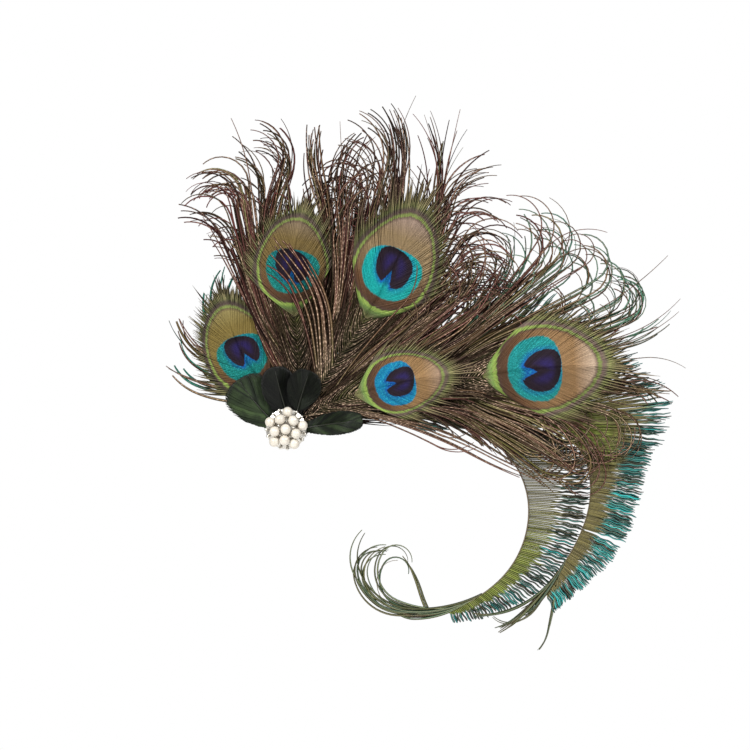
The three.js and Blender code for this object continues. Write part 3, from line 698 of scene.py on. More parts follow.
# %% Eye feather table
LOCK_SHARES = (0, 0.4, 0.75, 1)
ROOT, LENGTH, LEANS, BARBS, WIDTH = 0, 1, slice(2, 6), 6, slice(7, 8)
EYE_COLUMNS = ("base", "length", "width", "heart_shift", "notch", "fringe")
EYE_FEATHERS = {
    "eye_feather_1": {
        "sheet": 0, "start": (-7.5, 5.5, -62), "shaft": [(28, -34), (44, -8)], "teal": 0.85, "thick": 1.5,
        "olive": 0.15, "dark": 2.2, "lift": 0.75,
        "eye": (19, 48, 36, 0.06, 0.2, (1.34, 0.12)),
        "colours": ((20, 110, 102), (14, 82, 132), (118, 102, 54), (128, 116, 72)),
        "locks": [
            (4, 70, -84, -84, -68, -44, 4), (6, 74, -76, -68, -52, -8, 4), (8, 76, -66, -60, -46, -4, 4),
            (12, 72, -64, -44, -20, 20, 3), (16, 74, -66, -30, -4, 30, 4), (20, 72, -60, -20, 4, 24, 4),
            (26, 68, 6, -2, -10, 10, 5),
        ],
        "strays": [(6, 66, -80, -80, -72, -60, 2, 1.1), (9, 70, -70, -58, -44, -20, 2, 1.1)],
    },
    "eye_feather_2": {
        "sheet": 1, "start": (-2, 0, 2), "shaft": [(60, -7), (50, 18)], "teal": 0.05, "thick": 1.0,
        "olive": 0.08, "dark": 2.6, "lift": 1.0,
        "eye": (62, 47, 38, -0.02, 0.1, (1.2, 0.2)),
        "colours": ((20, 112, 104), (14, 80, 112), (112, 94, 56), (118, 102, 80)),
        "locks": [
            (11, 60, -44, -30, -14, -6, 14), (15, 72, -40, -24, -18, -20, 14),
            (19, 88, -44, -24, -18, -26, 16), (24, 122, -50, -22, -20, -100, 16),
            (30, 130, -46, -12, -12, -150, 20),
            (34, 132, -44, -10, -10, -138, 20), (38, 124, -42, -8, 4, -60, 16),
            (46, 132, -40, -4, 30, -95, 20), (52, 116, -36, 2, 18, -60, 16),
            (50, 112, 38, 4, -14, 0, 14), (44, 122, 42, 6, -20, 12, 16), (36, 130, 42, 10, -12, 55, 18),
            (30, 128, 40, 12, -4, 30, 18), (22, 148, 34, 16, 6, -170, 20),
        ],
        "strays": [(38, 133, -40, -6, -10, -20, 1, 0.9), (38, 134, 42, 8, -2, -6, 1, 0.6),
                   (26, 140, 38, 14, 0, 52, 2, 0.7)],
    },
    "eye_feather_3": {
        "sheet": 3, "start": (0.5, 0.4, 30), "shaft": [(48, 36), (75, 20)], "teal": 0.1, "thick": 1.0,
        "olive": 0.08, "dark": 2.0, "lift": 1.0,
        "eye": (71, 55, 42, 0.0, 0.13, (1.2, 0.22)),
        "colours": ((18, 148, 144), (12, 94, 150), (132, 112, 82), (140, 120, 106)),
        "locks": [
            (24, 112, 8, 8, -2, 70, 16), (31, 122, 6, 8, -2, 80, 18), (41, 126, 0, 12, 18, -95, 20),
            (51, 132, -2, 18, 14, -62, 20),
            (59, 130, 2, 24, 6, -30, 16), (63, 118, 6, 26, 0, -20, 14), (55, 138, 64, 24, 2, -34, 16),
            (48, 140, 70, 24, 6, 20, 16), (45, 140, 71, 25, 12, 84, 18), (43, 138, 72, 26, 14, 108, 18),
            (37, 136, 74, 32, 22, 132, 20), (33, 134, 74, 38, 30, 150, 20), (27, 138, 72, 44, 38, 170, 20),
            (21, 136, 66, 50, 44, 150, 18), (15, 124, 62, 56, 52, 120, 18),
        ],
        "strays": [
            (15, 80, -8, -13, -24, -66, 1, 1.7), (16, 72, -6, -14, -30, -54, 1, 1.6),
            (17, 82, -2, -10, -33, -42, 1, 1.8), (18, 86, 0, -7, -34, -41, 1, 2.0),
            (20, 88, 2, -5, -34, -40, 1, 2.0), (22, 84, 4, -4, -34, -38, 1, 2.1),
            (24, 80, 4, -5, -32, -37, 1, 2.0), (26, 75, 4, -6, -32, -36, 1, 2.1),
            (28, 69, 4, -6, -29, -33, 1, 2.0), (31, 62, 3, -7, -23, -28, 1, 2.0),
            (48, 148, 66, 22, 8, 14, 1, 0.7), (51, 140, 0, 20, 10, 22, 1, 0.6),
            (55, 142, 66, 24, -6, -22, 1, 0.6),
        ],
    },
    "eye_feather_4": {
        "sheet": 4, "start": (-0.3, -1.8, 62), "shaft": [(40, 75), (45, 79)], "teal": 0.05, "thick": 0.9,
        "olive": 0.2, "dark": 1.5, "lift": 1.6,
        "eye": (39.5, 43, 31, -0.04, 0.14, (1.2, 0.22)),
        "colours": ((18, 114, 156), (12, 60, 136), (138, 108, 72), (144, 120, 98)),
        "locks": [
            (12, 116, 40, 52, 48, 90, 16), (18, 140, 34, 58, 50, -60, 18), (24, 116, 40, 57, 52, 20, 18),
            (29, 104, 44, 62, 56, 30, 18), (33, 84, 46, 72, 64, 50, 16), (14, 112, 96, 86, 116, 140, 14),
            (22, 84, 108, 84, 100, 122, 16), (30, 72, 110, 80, 84, 100, 14),
        ],
        "strays": [
            (14, 117, 98, 108, 119, 110, 2, 1.1), (15, 124, 98, 106, 118, 112, 2, 1.0),
            (14, 90, 98, 110, 118, 60, 2, 0.9), (18, 112, 104, 102, 118, 116, 2, 1.0),
            (20, 84, 104, 104, 116, 40, 1, 0.9), (14, 93, 30, 38, 44, -5, 1, 1.2),
        ],
    },
    "eye_feather_5": {
        "sheet": 2, "start": (-0.7, -3.9, 72), "shaft": [(111, 81), (58, 88)], "teal": 0.55, "thick": 1.0,
        "olive": 0.36, "dark": 1.0, "lift": 2.1,
        "eye": (112, 57, 46, 0.05, 0.16, (1.2, 0.2)),
        "colours": ((26, 124, 122), (14, 80, 150), (136, 106, 72), (174, 152, 130)),
        "locks": [
            (22, 118, 46, 51, 47, 0, 16), (34, 120, 48, 54, 48, 10, 16), (43, 130, 46, 52, 44, -20, 16),
            (54, 150, 46, 52, 38, -90, 16), (64, 152, 42, 54, 52, -100, 18),
            (76, 138, 40, 68, 64, -84, 18), (90, 134, 40, 82, 66, -96, 18), (100, 124, 36, 92, 64, -84, 18),
            (116, 90, 44, 90, 80, 50, 14), (122, 84, 118, 92, 92, 80, 14), (106, 104, 120, 84, 76, 120, 16),
            (98, 116, 122, 86, 110, 230, 13), (93, 104, 122, 104, 116, 200, 9),
            (88, 134, 122, 98, 168, 330, 11), (83, 122, 122, 108, 124, 0, 9),
            (78, 118, 122, 114, 134, -20, 13), (68, 112, 120, 116, 124, 40, 16),
            (58, 104, 118, 116, 126, 140, 16),
        ],
        "strays": [
            (60, 150, 44, 48, 40, 120, 1, 0.8), (62, 156, 44, 48, 58, 200, 1, 0.8),
            (116, 110, 40, 92, 62, 40, 1, 0.6), (120, 102, 44, 96, 66, 44, 1, 0.6),
            (122, 94, 60, 94, 84, 112, 1, 0.6), (96, 128, 40, 78, 52, 36, 1, 0.7),
            (70, 150, 42, 56, 60, -170, 2, 0.9), (54, 158, 46, 50, 36, -100, 2, 1.1),
            (97, 120, 122, 88, 112, 236, 1, 1.0), (90, 132, 122, 98, 164, 326, 1, 1.0),
            (86, 126, 122, 104, 150, 330, 1, 0.9), (80, 122, 122, 110, 130, -8, 1, 1.0),
            (76, 116, 122, 114, 136, -24, 1, 0.9), (70, 112, 120, 116, 124, 34, 1, 0.8),
        ],
    },
}
EYE_FRINGE = 7


def eye_shaft(feather):
    """The shaft, drawn on straight to the end of the fringe."""
    shaft = feather["shaft"]
    end = feather["eye"]["base"] + feather["eye"]["length"] + EYE_FRINGE
    rest = end - sum(length for length, _ in shaft)
    return shaft_path(feather["start"], [*shaft, (rest, shaft[-1][1])])


print("locks:", {name: len(feather["locks"]) for name, feather in EYE_FEATHERS.items()})

# %% Strands of a row
GATHER = (1.0, 1.0, 0.9, 0.6, 0.35, 0.3)
LEAN_JITTER = np.array([3, 2.2, 3.5, 9])
LIFT_RUN = 12
TIP_EASE = 1.3


def lock_columns(rng, rows, counts):
    """Root, length and leans for each barb: its row's own, drawn towards the rows on both sides."""
    order = np.repeat(np.arange(len(rows)), counts)
    spread = rng.uniform(-0.5, 0.5, len(order))
    places = np.arange(len(rows))
    columns = [np.interp(order + share * spread, places, rows[:, i]) for i, share in enumerate(GATHER)]
    return columns[ROOT], columns[LENGTH], np.stack(columns[LEANS], axis=1)


def single_rows(table):
    """A table with a row for each barb."""
    rows = np.array(table, float)
    return np.repeat(rows, rows[:, BARBS].astype(int), axis=0)


def strand_points(rng, sheet, path, root, length, leans, rings, levels, drift):
    """Centre lines of strands that leave a shaft, at their own depths in the sheet."""
    x, z, marks = from_shaft(path, root, length, leans, LOCK_SHARES, rings, TIP_EASE)
    level = rng.uniform(*levels, (len(root), 1)) * np.minimum(1, marks * length[:, None] / LIFT_RUN)
    away = np.abs(rng.normal(0, drift, (len(root), 1))) * marks ** 2
    return in_sheet(sheet, x, z, level + away), marks


# %% Loose barbs
LOOSE_RINGS = 27
LOOSE_WIDTH = (0.95, 1.45)
ROOT_JITTER = 1.5
SHORT_SHARE = 0.45
SHORT_LENGTH = (0.5, 0.85)
FULL_LENGTH = (0.88, 1.03)
VEIN_LINE = 0.3
TEAL_SHARE = 0.6


def loose_barbs(rng, feather, path, rows, teal):
    """Barbs of the locks on one side of a feather."""
    rows = np.array(rows, float)
    root, length, leans = lock_columns(rng, rows, rows[:, BARBS].astype(int))
    count = len(root)
    root = np.clip(root + rng.normal(0, ROOT_JITTER, count), 2, None)
    short = rng.random(count) < SHORT_SHARE
    length = length * np.where(short, rng.uniform(*SHORT_LENGTH, count), rng.uniform(*FULL_LENGTH, count))
    leans = leans + rng.normal(0, 1, (count, 4)) * LEAN_JITTER
    points, marks = strand_points(
        rng, feather["sheet"], path, root, length, leans, LOOSE_RINGS, levels=(0.05, 1.1), drift=1.5
    )
    swell = np.minimum(1, 0.45 + 2 * marks) * (1 - 0.5 * marks ** 4)
    width = feather["thick"] * rng.uniform(*LOOSE_WIDTH, (count, 1)) * swell
    twist = rng.normal(0, 0.3, (count, 1)) + rng.normal(0, 0.7, (count, 1)) * marks ** 1.5
    return family(
        points, width, twist=twist, tint=rng.random(count) ** (0.4 + 0.3 * feather["dark"]),
        vein=rng.random(count) ** feather["dark"], plain=VEIN_LINE / feather["dark"],
        green=np.clip(rng.normal(feather["olive"], 0.24, count), 0, 0.9),
        teal=teal * (rng.random(count) < TEAL_SHARE),
    )


def stray_barbs(rng, feather, path):
    """Single barbs that leave the locks, each with its own width."""
    rows = single_rows(feather["strays"])
    count = len(rows)
    leans = rows[:, LEANS] + rng.normal(0, 1, (count, 4)) * LEAN_JITTER / 2
    length = rows[:, LENGTH] * rng.uniform(0.97, 1.03, count)
    points, marks = strand_points(
        rng, feather["sheet"], path, rows[:, ROOT], length, leans, 2 * LOOSE_RINGS, levels=(-0.35, 0.2),
        drift=0.3,
    )
    return family(
        points, rows[:, WIDTH] * (1 - 0.6 * marks ** 3), tint=rng.uniform(0.25, 0.9, count),
        vein=rng.uniform(0.25, 0.9, count), green=rng.uniform(0, 0.25, count), plain=0.2,
    )


# %% [markdown]
# ## Closing the gaps
# Seen close, the gaps between loose barbs are dark, because more barbs lie behind them in shade. A few broad
# barbs behind each lock, painted dark as that shade, do the same with far fewer faces. Near the shaft,
# shorter barbs stand in a chevron: a close dark layer, and over it a wider spaced layer with pale veins.

# %% Fill barbs
FILL_PER_LOCK = 12
FILL_RINGS = 10
FILL_WIDTH = 2.7
FILL_RIDGE = 0.15
FILL_LENGTH = (0.36, 0.68)
FILL_FROM_BARBS = 12


def fill_barbs(rng, feather, path, rows):
    """Broad barbs behind the fuller locks, painted dark as shade, which end before them."""
    rows = np.array([row for row in rows if row[BARBS] >= FILL_FROM_BARBS], float)
    root, length, leans = lock_columns(rng, rows, FILL_PER_LOCK)
    count = len(root)
    share = rng.uniform(*FILL_LENGTH, count)
    leans = np.stack([np.interp(np.multiply(cut, LOCK_SHARES), LOCK_SHARES, row)
                      for cut, row in zip(share, leans)])
    points, marks = strand_points(
        rng, feather["sheet"], path, root, length * share, leans, FILL_RINGS, levels=(0.9, 1.3), drift=0.2
    )
    width = FILL_WIDTH * np.minimum(1, 0.4 + 2 * marks) * (1 - 0.85 * marks ** 3)
    return family(
        points, width * rng.uniform(0.8, 1.2, (count, 1)), ridge=FILL_RIDGE,
        # A low tint paints these barbs dark, as painted shade behind the locks.
        tint=rng.uniform(0, 0.2, count), green=rng.uniform(0, 0.4, count),
    )


# %% Skirt barbs
SKIRT_FROM = 2
SKIRT_RINGS = 12
SKIRT_SHARES = (0, 0.35, 1)
SKIRT_SPLAY = np.array([48, 22, 10])
SPLAY_JITTER = np.array([3, 3, 5])


def skirt_barbs(rng, feather, path, pitch, lengths, width, level, jitter, vein, plain):
    """Barbs in a chevron on both sides of the shaft, from the pad to the eye."""
    base = feather["eye"]["base"]
    roots, hand = both_sides(SKIRT_FROM, base - 2, pitch)
    count = len(roots)
    roots = roots + rng.uniform(-0.25, 0.25, count) * pitch
    splay = SKIRT_SPLAY + jitter * rng.normal(0, 1, (count, 3)) * SPLAY_JITTER
    leans = on_shaft(path, roots, "lean")[:, None] + hand[:, None] * splay
    near_eye = smooth(roots, base - 26, base + 2)
    length = rng.uniform(*lengths, count) * smooth(roots, -12, 22) * (1 - 0.55 * near_eye)
    x, z, marks = from_shaft(path, roots, length, leans, SKIRT_SHARES, SKIRT_RINGS)
    depth = level + jitter * rng.uniform(-0.2, 0.5, (count, 1))
    points = in_sheet(feather["sheet"], x, z, depth * np.minimum(1, 6 * marks))
    swell = np.minimum(1, 0.6 + 3 * marks) * (1 - 0.8 * marks ** 3)
    grown = width * rng.uniform(0.85, 1.15, (count, 1)) * swell
    return family(
        points, grown, ridge=0.25 * grown, twist=jitter * rng.normal(0, 0.3, (count, 1)),
        tint=0.2 * rng.random(count) + 0.3 * near_eye, vein=vein * rng.uniform(0.15, 1.0, count),
        green=np.clip(rng.normal(0.3, 0.2, count) + 0.6 * near_eye, 0, 1), plain=plain,
    )


# %% [markdown]
# ## The barbs of the eye
# In the eye the barbs lie so close that they make one smooth vane. A flat disc with a picture on it would be
# simpler, but its rim would be too clean and its light too even. So we lay two layers of barbs: a coarse one
# behind, which closes the gaps, and a fine one in front. Each barb is cut off where it crosses a limit of
# its own outside the ring, and that gives the ragged fringe.

# %% Eye barbs
EYE_RINGS = 17
EYE_LEAD = 7
EYE_PAST = 3
EYE_LONGEST = 74
EYE_TWIST = 0.16
FRINGE_MOST = 2.2
BEND_SHARES = (0, 0.4, 1)
EYE_BEND = np.array([1.0, 0.75, 0.35])


def eye_barbs(rng, feather, path, pitch, width, level, shade, fringe):
    """The dense barbs of the eye and its fringe, on both sides of the shaft, with a ragged edge."""
    eye = feather["eye"]
    roots, hand = both_sides(eye["base"] - EYE_LEAD, eye["base"] + eye["length"] + EYE_PAST, pitch)
    count = len(roots)
    share = np.clip((roots - eye["base"]) / eye["length"], 0, 1)
    splay = 4 + 46 * (1 - share) ** 0.8 + rng.normal(0, 0.6, count)
    leans = on_shaft(path, roots, "lean")[:, None] + (hand * splay)[:, None] * EYE_BEND
    x, z, _ = from_shaft(path, roots, EYE_LONGEST, leans, BEND_SHARES, EYE_LONGEST + 1)
    edge = np.clip(fringe[0] + rng.exponential(fringe[1], (count, 1)), 0, FRINGE_MOST)
    x, z = cut_off(x, z, ring_field(*eye_place(path, eye, x, z)) > edge, least=3, rings=EYE_RINGS)
    marks = np.linspace(0, 1, EYE_RINGS)
    woven = 0.05 * np.where(np.arange(count) % 4 < 2, -1, 1)[:, None]
    points = in_sheet(feather["sheet"], x, z, level + woven + 0.8 * smooth(marks, 0.6, 1))
    swell = np.minimum(1, 0.75 + 2 * marks) * (1 - 0.85 * smooth(marks, 0.74, 1))
    return family(
        points, width * rng.uniform(0.9, 1.1, (count, 1)) * swell, ridge=0.1 * swell,
        twist=(hand * EYE_TWIST)[:, None], front=2, fields=eye_fields(path, eye), tint=rng.random(count),
        shade=shade, vein=rng.random(count),
    )


# %% [markdown]
# ## The shafts, and whole feathers
# A shaft is a thin rod of horn that tapers towards the tip. A tube would do, but two of our threads set back
# to back make such a rod as well, and they go into the same mesh and onto the same map as the barbs. Then
# each eye feather is put together as one mesh from all its families.

# %% Quills
QUILL_STEP = 3.0


def quill_threads(path, sheet, thick, thin, level, slot):
    """A shaft: one thread with its ridge in front and one with its ridge behind."""
    stations = np.arange(0, path["along"][-1], QUILL_STEP)
    line = in_sheet(sheet, on_shaft(path, stations, "x"), on_shaft(path, stations, "z"), level)
    taper = np.linspace(thick, thin, len(stations))
    return family(
        np.stack([line, line]), taper, ridge=0.5 * taper, twist=np.array([[0.0], [math.pi]]), front=slot,
        back=slot, tint=0.5,
    )


# %% Make the eye feathers
RIGHT_TEAL = 0.05
CHEVRON_PALE = 1.5

for number, (name, feather) in enumerate(EYE_FEATHERS.items(), 1):
    feather["eye"] = dict(zip(EYE_COLUMNS, feather["eye"]))
    rng = np.random.default_rng(100 + number)
    path = eye_shaft(feather)
    groups = []
    on_right = [row[LEANS][0] > on_shaft(path, row[ROOT], "lean") for row in feather["locks"]]
    for right in (False, True):
        rows = [row for row, side in zip(feather["locks"], on_right) if side == right]
        groups.append(loose_barbs(rng, feather, path, rows, RIGHT_TEAL if right else feather["teal"]))
        if max(row[BARBS] for row in rows) >= FILL_FROM_BARBS:
            groups.append(fill_barbs(rng, feather, path, rows))
    groups += [
        stray_barbs(rng, feather, path),
        skirt_barbs(rng, feather, path, pitch=0.55, lengths=(24, 42), width=0.8, level=-0.2, jitter=1.0,
                    vein=0.15, plain=0.0),
        skirt_barbs(rng, feather, path, pitch=1.9, lengths=(17, 27), width=1.4, level=-0.5, jitter=0.5,
                    vein=CHEVRON_PALE / feather["dark"], plain=0.12),
        eye_barbs(rng, feather, path, pitch=1.8, width=3.0, level=-0.35, shade=0.9, fringe=(1.2, 0.02)),
        eye_barbs(rng, feather, path, pitch=0.42, width=0.92, level=-0.75, shade=1.0,
                  fringe=feather["eye"]["fringe"]),
        quill_threads(path, feather["sheet"], thick=1.1, thin=0.4, level=0.35, slot=3),
    ]
    colours = (srgb(*colour) for colour in feather["colours"])
    finish = eye_finish(f"eye_colours_{number}", feather["lift"], *colours)
    dress(thread_mesh(f"{name}_barbs", groups, [herl, feather_back, finish, quill]), name)

# %% [markdown]
# ## The sword feathers
# A sword feather carries barbs on its outer side only. Near the shaft they are thin and bare, and towards
# the ends they are thick, wavy and dark or teal, so the feather has a heavy edge like a comb. At the end of
# the blade the shaft runs out into a few long strands, which we call whips. On one feather they curl. The
# rows have the same columns as those of the eye feathers, but a lock of the blade has no count of barbs.

# %% Sword feather table
SWORD_FEATHERS = {
    "sword_feather_inner": {
        "sheet": 0, "start": (-2, -9, 76), "blade": (46, 236), "pitch": 0.9, "stem": 0.74, "heavy": 1.1,
        "pale": 0.8, "teal": (0.05, 0.34), "green": (186, 236), "parting": (0, 0),
        "shaft": [
            (56, 84), (43, 116), (34, 148), (28, 182), (44, 228), (44, 262), (20, 300), (22, 375), (18, 470),
        ],
        "locks": [
            (46, 30, 112, 108, 108, 110), (66, 38, 104, 102, 102, 104), (86, 42, 98, 96, 98, 98),
            (104, 46, 94, 94, 94, 94), (120, 46, 90, 91, 91, 90), (134, 42, 88, 90, 90, 88),
            (147, 36, 90, 92, 91, 88), (160, 33, 94, 97, 100, 102), (172, 30, 98, 102, 106, 108),
            (184, 27, 103, 108, 112, 115), (195, 23, 112, 116, 121, 126), (206, 18, 122, 127, 133, 138),
            (217, 14, 128, 132, 138, 144), (228, 11, 136, 140, 147, 152), (236, 8, 150, 156, 164, 172),
        ],
        "whips": [
            (214, 108, 246, 272, 335, 405, 2), (220, 102, 248, 268, 345, 442, 4),
            (225, 95, 250, 276, 350, 450, 4), (230, 92, 255, 292, 390, 545, 3),
            (247, 36, 332, 342, 335, 318, 2), (222, 44, 240, 252, 268, 290, 5),
        ],
    },
    "sword_feather_outer": {
        "sheet": 1, "start": (-1.7, -6.6, 79), "blade": (64, 250), "pitch": 0.6, "stem": 0.78, "heavy": 1.0,
        "pale": 0.0, "teal": (0.6, 1.0), "green": (136, 160), "parting": (208.8, 209.2),
        "shaft": [
            (70, 86), (66, 106), (13, 124), (14, 145), (14, 170), (22, 194), (16, 206), (22, 216), (26, 228),
        ],
        "locks": [
            (66, 96, 40, 38, 36, 34), (80, 94, 48, 46, 46, 44), (94, 90, 58, 56, 56, 56),
            (108, 86, 66, 66, 66, 66), (120, 82, 74, 74, 75, 75), (132, 76, 82, 83, 84, 84),
            (142, 64, 88, 90, 92, 92), (150, 54, 92, 95, 97, 97), (158, 44, 94, 97, 98, 98),
            (166, 37, 92, 95, 95, 95), (174, 32, 92, 95, 96, 96), (182, 29, 94, 97, 99, 99),
            (190, 27, 97, 101, 104, 104), (198, 26, 102, 106, 109, 110), (208, 25, 104, 107, 107, 107),
            (210, 24, 107, 113, 116, 117), (218, 22, 112, 119, 123, 125), (226, 19, 121, 128, 133, 135),
            (236, 16, 130, 138, 144, 148), (248, 14, 142, 150, 158, 166),
        ],
        "whips": [
            (238, 46, 214, 222, 232, 250, 7), (244, 48, 218, 240, 262, 268, 3),
            (234, 47, 195, 190, 190, 215, 2), (242, 44, 205, 215, 262, 320, 2),
            (230, 38, 206, 214, 224, 240, 7),
        ],
    },
}


# %% Sword finish
def sword_finish(name):
    look = Finish(name)
    stem = look.stored("pale").mix(srgb(112, 104, 60), srgb(94, 90, 52))
    stem = look.stored("green").mix(stem, srgb(116, 128, 52))
    # The heavy ends are painted bright teal on one side of each barb and dark on the other, as painted
    # highlight and shade.
    teal = look.stored("side").step(-0.5, 0.3).mix(srgb(6, 28, 32), srgb(40, 186, 182))
    end = look.stored("teal").mix(srgb(27, 34, 26), teal)
    heavy = look.stored("heavy")
    tone = tone_and_edge_shade(look, 0.6, 1.3) * look.stored("along").step(0.0, 0.1, 0.8, 1.0)
    colour = heavy.mix(stem, end).toned(tone)
    inputs = {
        "Base Color": vein_line(look, 0.4).mix(colour, srgb(176, 160, 126)),
        "Roughness": heavy.step(0.0, 1.0, 0.5, 0.36),
        "Specular IOR Level": 0.3,
    }
    return look.settle(inputs, side_hairs(look), 0.15)


sword = sword_finish("sword_barb")
sword_quill = quill_finish("sword_quill", srgb(44, 36, 28), srgb(112, 98, 76))
print("sword finishes:", sword.name, sword_quill.name)

# %% Sword barbs
SWORD_RINGS = 19
HEAVY_LENGTH = 15
BARE_LEAST = 0.36
WAVE_HEIGHT = 0.3
WAVE_PER_MM = 0.85
TUFT = 3
TUFT_CLOSE = 0.85
SWAY = 2.0
SWAY_SHARES = np.array([0.1, 0.3, 0.8, 1.2])


def sword_barbs(rng, feather, path):
    """The blade: close barbs along the outer side of the shaft, with a parting where it has one."""
    low, high = feather["blade"]
    roots = np.arange(low, high, feather["pitch"])
    roots = roots[(roots < feather["parting"][0]) | (roots > feather["parting"][1])]
    count = len(roots)
    rows = np.array(feather["locks"], float)
    columns = [np.interp(roots, rows[:, ROOT], column) for column in rows.T]
    sway = SWAY * np.sin(roots * 0.8 + 2 * np.sin(roots * 0.13)) + rng.normal(0, 0.9, count)
    leans = np.stack(columns[LEANS], axis=1) + sway[:, None] * SWAY_SHARES
    length = columns[LENGTH] * rng.uniform(0.9, 1.03, count)
    x, z, marks = from_shaft(path, roots, length, leans, LOCK_SHARES, SWORD_RINGS)
    bare = np.maximum(BARE_LEAST, 1 - HEAVY_LENGTH / length)[:, None] + rng.normal(0, 0.05, (count, 1))
    heavy = smooth(marks, bare - 0.06, bare + 0.1)
    phase = 0.5 * roots[:, None] + rng.normal(0, 0.6, (count, 1))
    wave = WAVE_HEIGHT * np.sin(marks * length[:, None] * WAVE_PER_MM + phase)
    apart = (np.arange(count) % TUFT - (TUFT - 1) / 2)[:, None] * feather["pitch"]
    wave = (wave + TUFT_CLOSE * apart) * heavy
    way = np.radians(leans[:, 2])[:, None]
    x, z = x + wave * np.cos(way), z - wave * np.sin(way)
    points = in_sheet(feather["sheet"], x, z, rng.uniform(-0.4, 0.7, (count, 1)) * np.minimum(1, 3 * marks))
    begin, end = feather["green"]
    leafy = (smooth(roots, begin - 40, begin + 10) * (1 - smooth(roots, end, end + 16)))[:, None]
    stem = feather["stem"] * (1 + 0.5 * leafy)
    grown = stem + (feather["heavy"] - stem) * heavy
    width = grown * (1 - 0.6 * smooth(marks, 0.9, 1)) * rng.uniform(0.85, 1.15, (count, 1))
    share = smooth(roots, low + 0.55 * (high - low), low + 0.9 * (high - low))
    teal = feather["teal"][0] + (feather["teal"][1] - feather["teal"][0]) * share
    teal = np.where(rng.random(count) < 0.4, 0.25 * teal, teal)
    return family(
        points, width, twist=rng.normal(0, 0.25, (count, 1)), tint=rng.random(count),
        vein=rng.uniform(0, 0.3, count), heavy=heavy, pale=feather["pale"] * (1 - share),
        green=leafy * (1 - smooth(marks, 0.4, 0.7)), teal=np.clip(rng.normal(teal, 0.2), 0, 1),
    )


# %% Sword whips
WHIP_JITTER = np.array([1.5, 2, 4, 9])
WHIP_WIDTH = (1.1, 1.6)


def sword_whips(rng, feather, path):
    """The long strands at the end of the blade."""
    rows = single_rows(feather["whips"])
    count = len(rows)
    root = rows[:, ROOT] + rng.uniform(-2, 2, count)
    leans = rows[:, LEANS] + rng.normal(0, 1, (count, 4)) * WHIP_JITTER
    length = rows[:, LENGTH] * rng.uniform(0.9, 1.04, count)
    points, marks = strand_points(
        rng, feather["sheet"], path, root, length, leans, 2 * SWORD_RINGS, levels=(-0.8, 0.8), drift=0.8
    )
    width = rng.uniform(*WHIP_WIDTH, (count, 1)) * (1 - 0.65 * marks ** 3)
    return family(
        points, width, twist=rng.normal(0, 0.5, (count, 1)) * marks, tint=rng.random(count),
        vein=rng.uniform(0, 0.4, count), heavy=0.55, green=rng.uniform(0.0, 0.7, count),
        teal=rng.uniform(0, 0.3, count),
    )


for number, (name, feather) in enumerate(SWORD_FEATHERS.items(), 1):
    rng = np.random.default_rng(200 + number)
    path = shaft_path(feather["start"], feather["shaft"])
    groups = [
        sword_barbs(rng, feather, path),
        sword_whips(rng, feather, path),
        quill_threads(path, feather["sheet"], thick=1.3, thin=0.3, level=-0.25, slot=2),
    ]
    dress(thread_mesh(f"{name}_barbs", groups, [sword, feather_back, sword_quill]), name)

# %% [markdown]
# ## The black rosette
# Four short feathers hide the roots of the fan. Their barbs lie so close that they make one silky vane on
# each side of a thin shaft. We still make them barb by barb, because their fine grain catches the light
# along the barbs and their edges fray.

# %% Rosette table
LEAF_COLUMNS = ("x", "z", "length", "lean_root", "lean_tip", "width", "widest", "sheet", "front", "green")
ROSETTE = {
    "rosette_feather_1": (-14, -7, 34, -46, -34, 28, 0.72, 0, 0, 0.85),
    "rosette_feather_2": (-8, -2, 29, -18, -12, 20, 0.6, 1, 0.5, 0.04),
    "rosette_feather_3": (-3, 1, 24, 14, 22, 19, 0.62, 3, 1.2, 0.14),
    "rosette_feather_4": (1, -8, 33, 80, 84, 13, 0.6, 4, 0, 0.45),
}
ROSETTE_CLEAR = 1.5
ROSETTE_STEP = 1.1
LEAF_STEM = 2.2


# %% Rosette finish
def rosette_finish(name):
    look = Finish(name)
    # The lighter green streaks, where the vane is folded, are painted sheen.
    fold_sheens = look.stored("fold") * look.noise(160, 2.0).step(0.3, 0.6, 0.4, 1.0)
    green = fold_sheens.mix(srgb(18, 26, 16), srgb(66, 84, 50))
    colour = look.stored("green").mix(srgb(8, 9, 8), green)
    colour = look.stored("along").step(0.8, 1.0, 0.0, 0.7).mix(colour, srgb(13, 14, 12))
    inputs = {
        "Base Color": colour.toned(tinted(look, 0.75, 1.25)),
        "Roughness": tinted(look, 0.5, 0.38),
        "Specular IOR Level": 0.2,
    }
    return look.settle(inputs, side_hairs(look), 0.1)


rosette = rosette_finish("black_vane")
black_quill = quill_finish("black_quill", srgb(14, 14, 12), srgb(46, 48, 40))
print("rosette finishes:", rosette.name, black_quill.name)

# %% Rosette leaves
LEAF_PITCH = 0.26
LEAF_RINGS = 9
LEAF_LONGEST = 30
LEAF_BEND = np.array([1.0, 0.7, 0.4])
LEAF_RIDGE = 0.08
LEAF_TWIST = 0.2
LEAF_CUP = 0.9
FOLD_PITCH = 2.5


def leaf_half(leaf, along):
    """Half the width of a leaf: it swells from the stem and closes in a round tip."""
    share = np.clip(along / leaf["length"], 0, 1)
    swell = np.sin(np.pi / 2 * np.minimum(1, share / leaf["widest"]))
    past = np.maximum(0, share - leaf["widest"]) / (1 - leaf["widest"])
    return LEAF_STEM + (leaf["width"] / 2 - LEAF_STEM) * swell * np.sqrt(np.maximum(0, 1 - past ** 2))


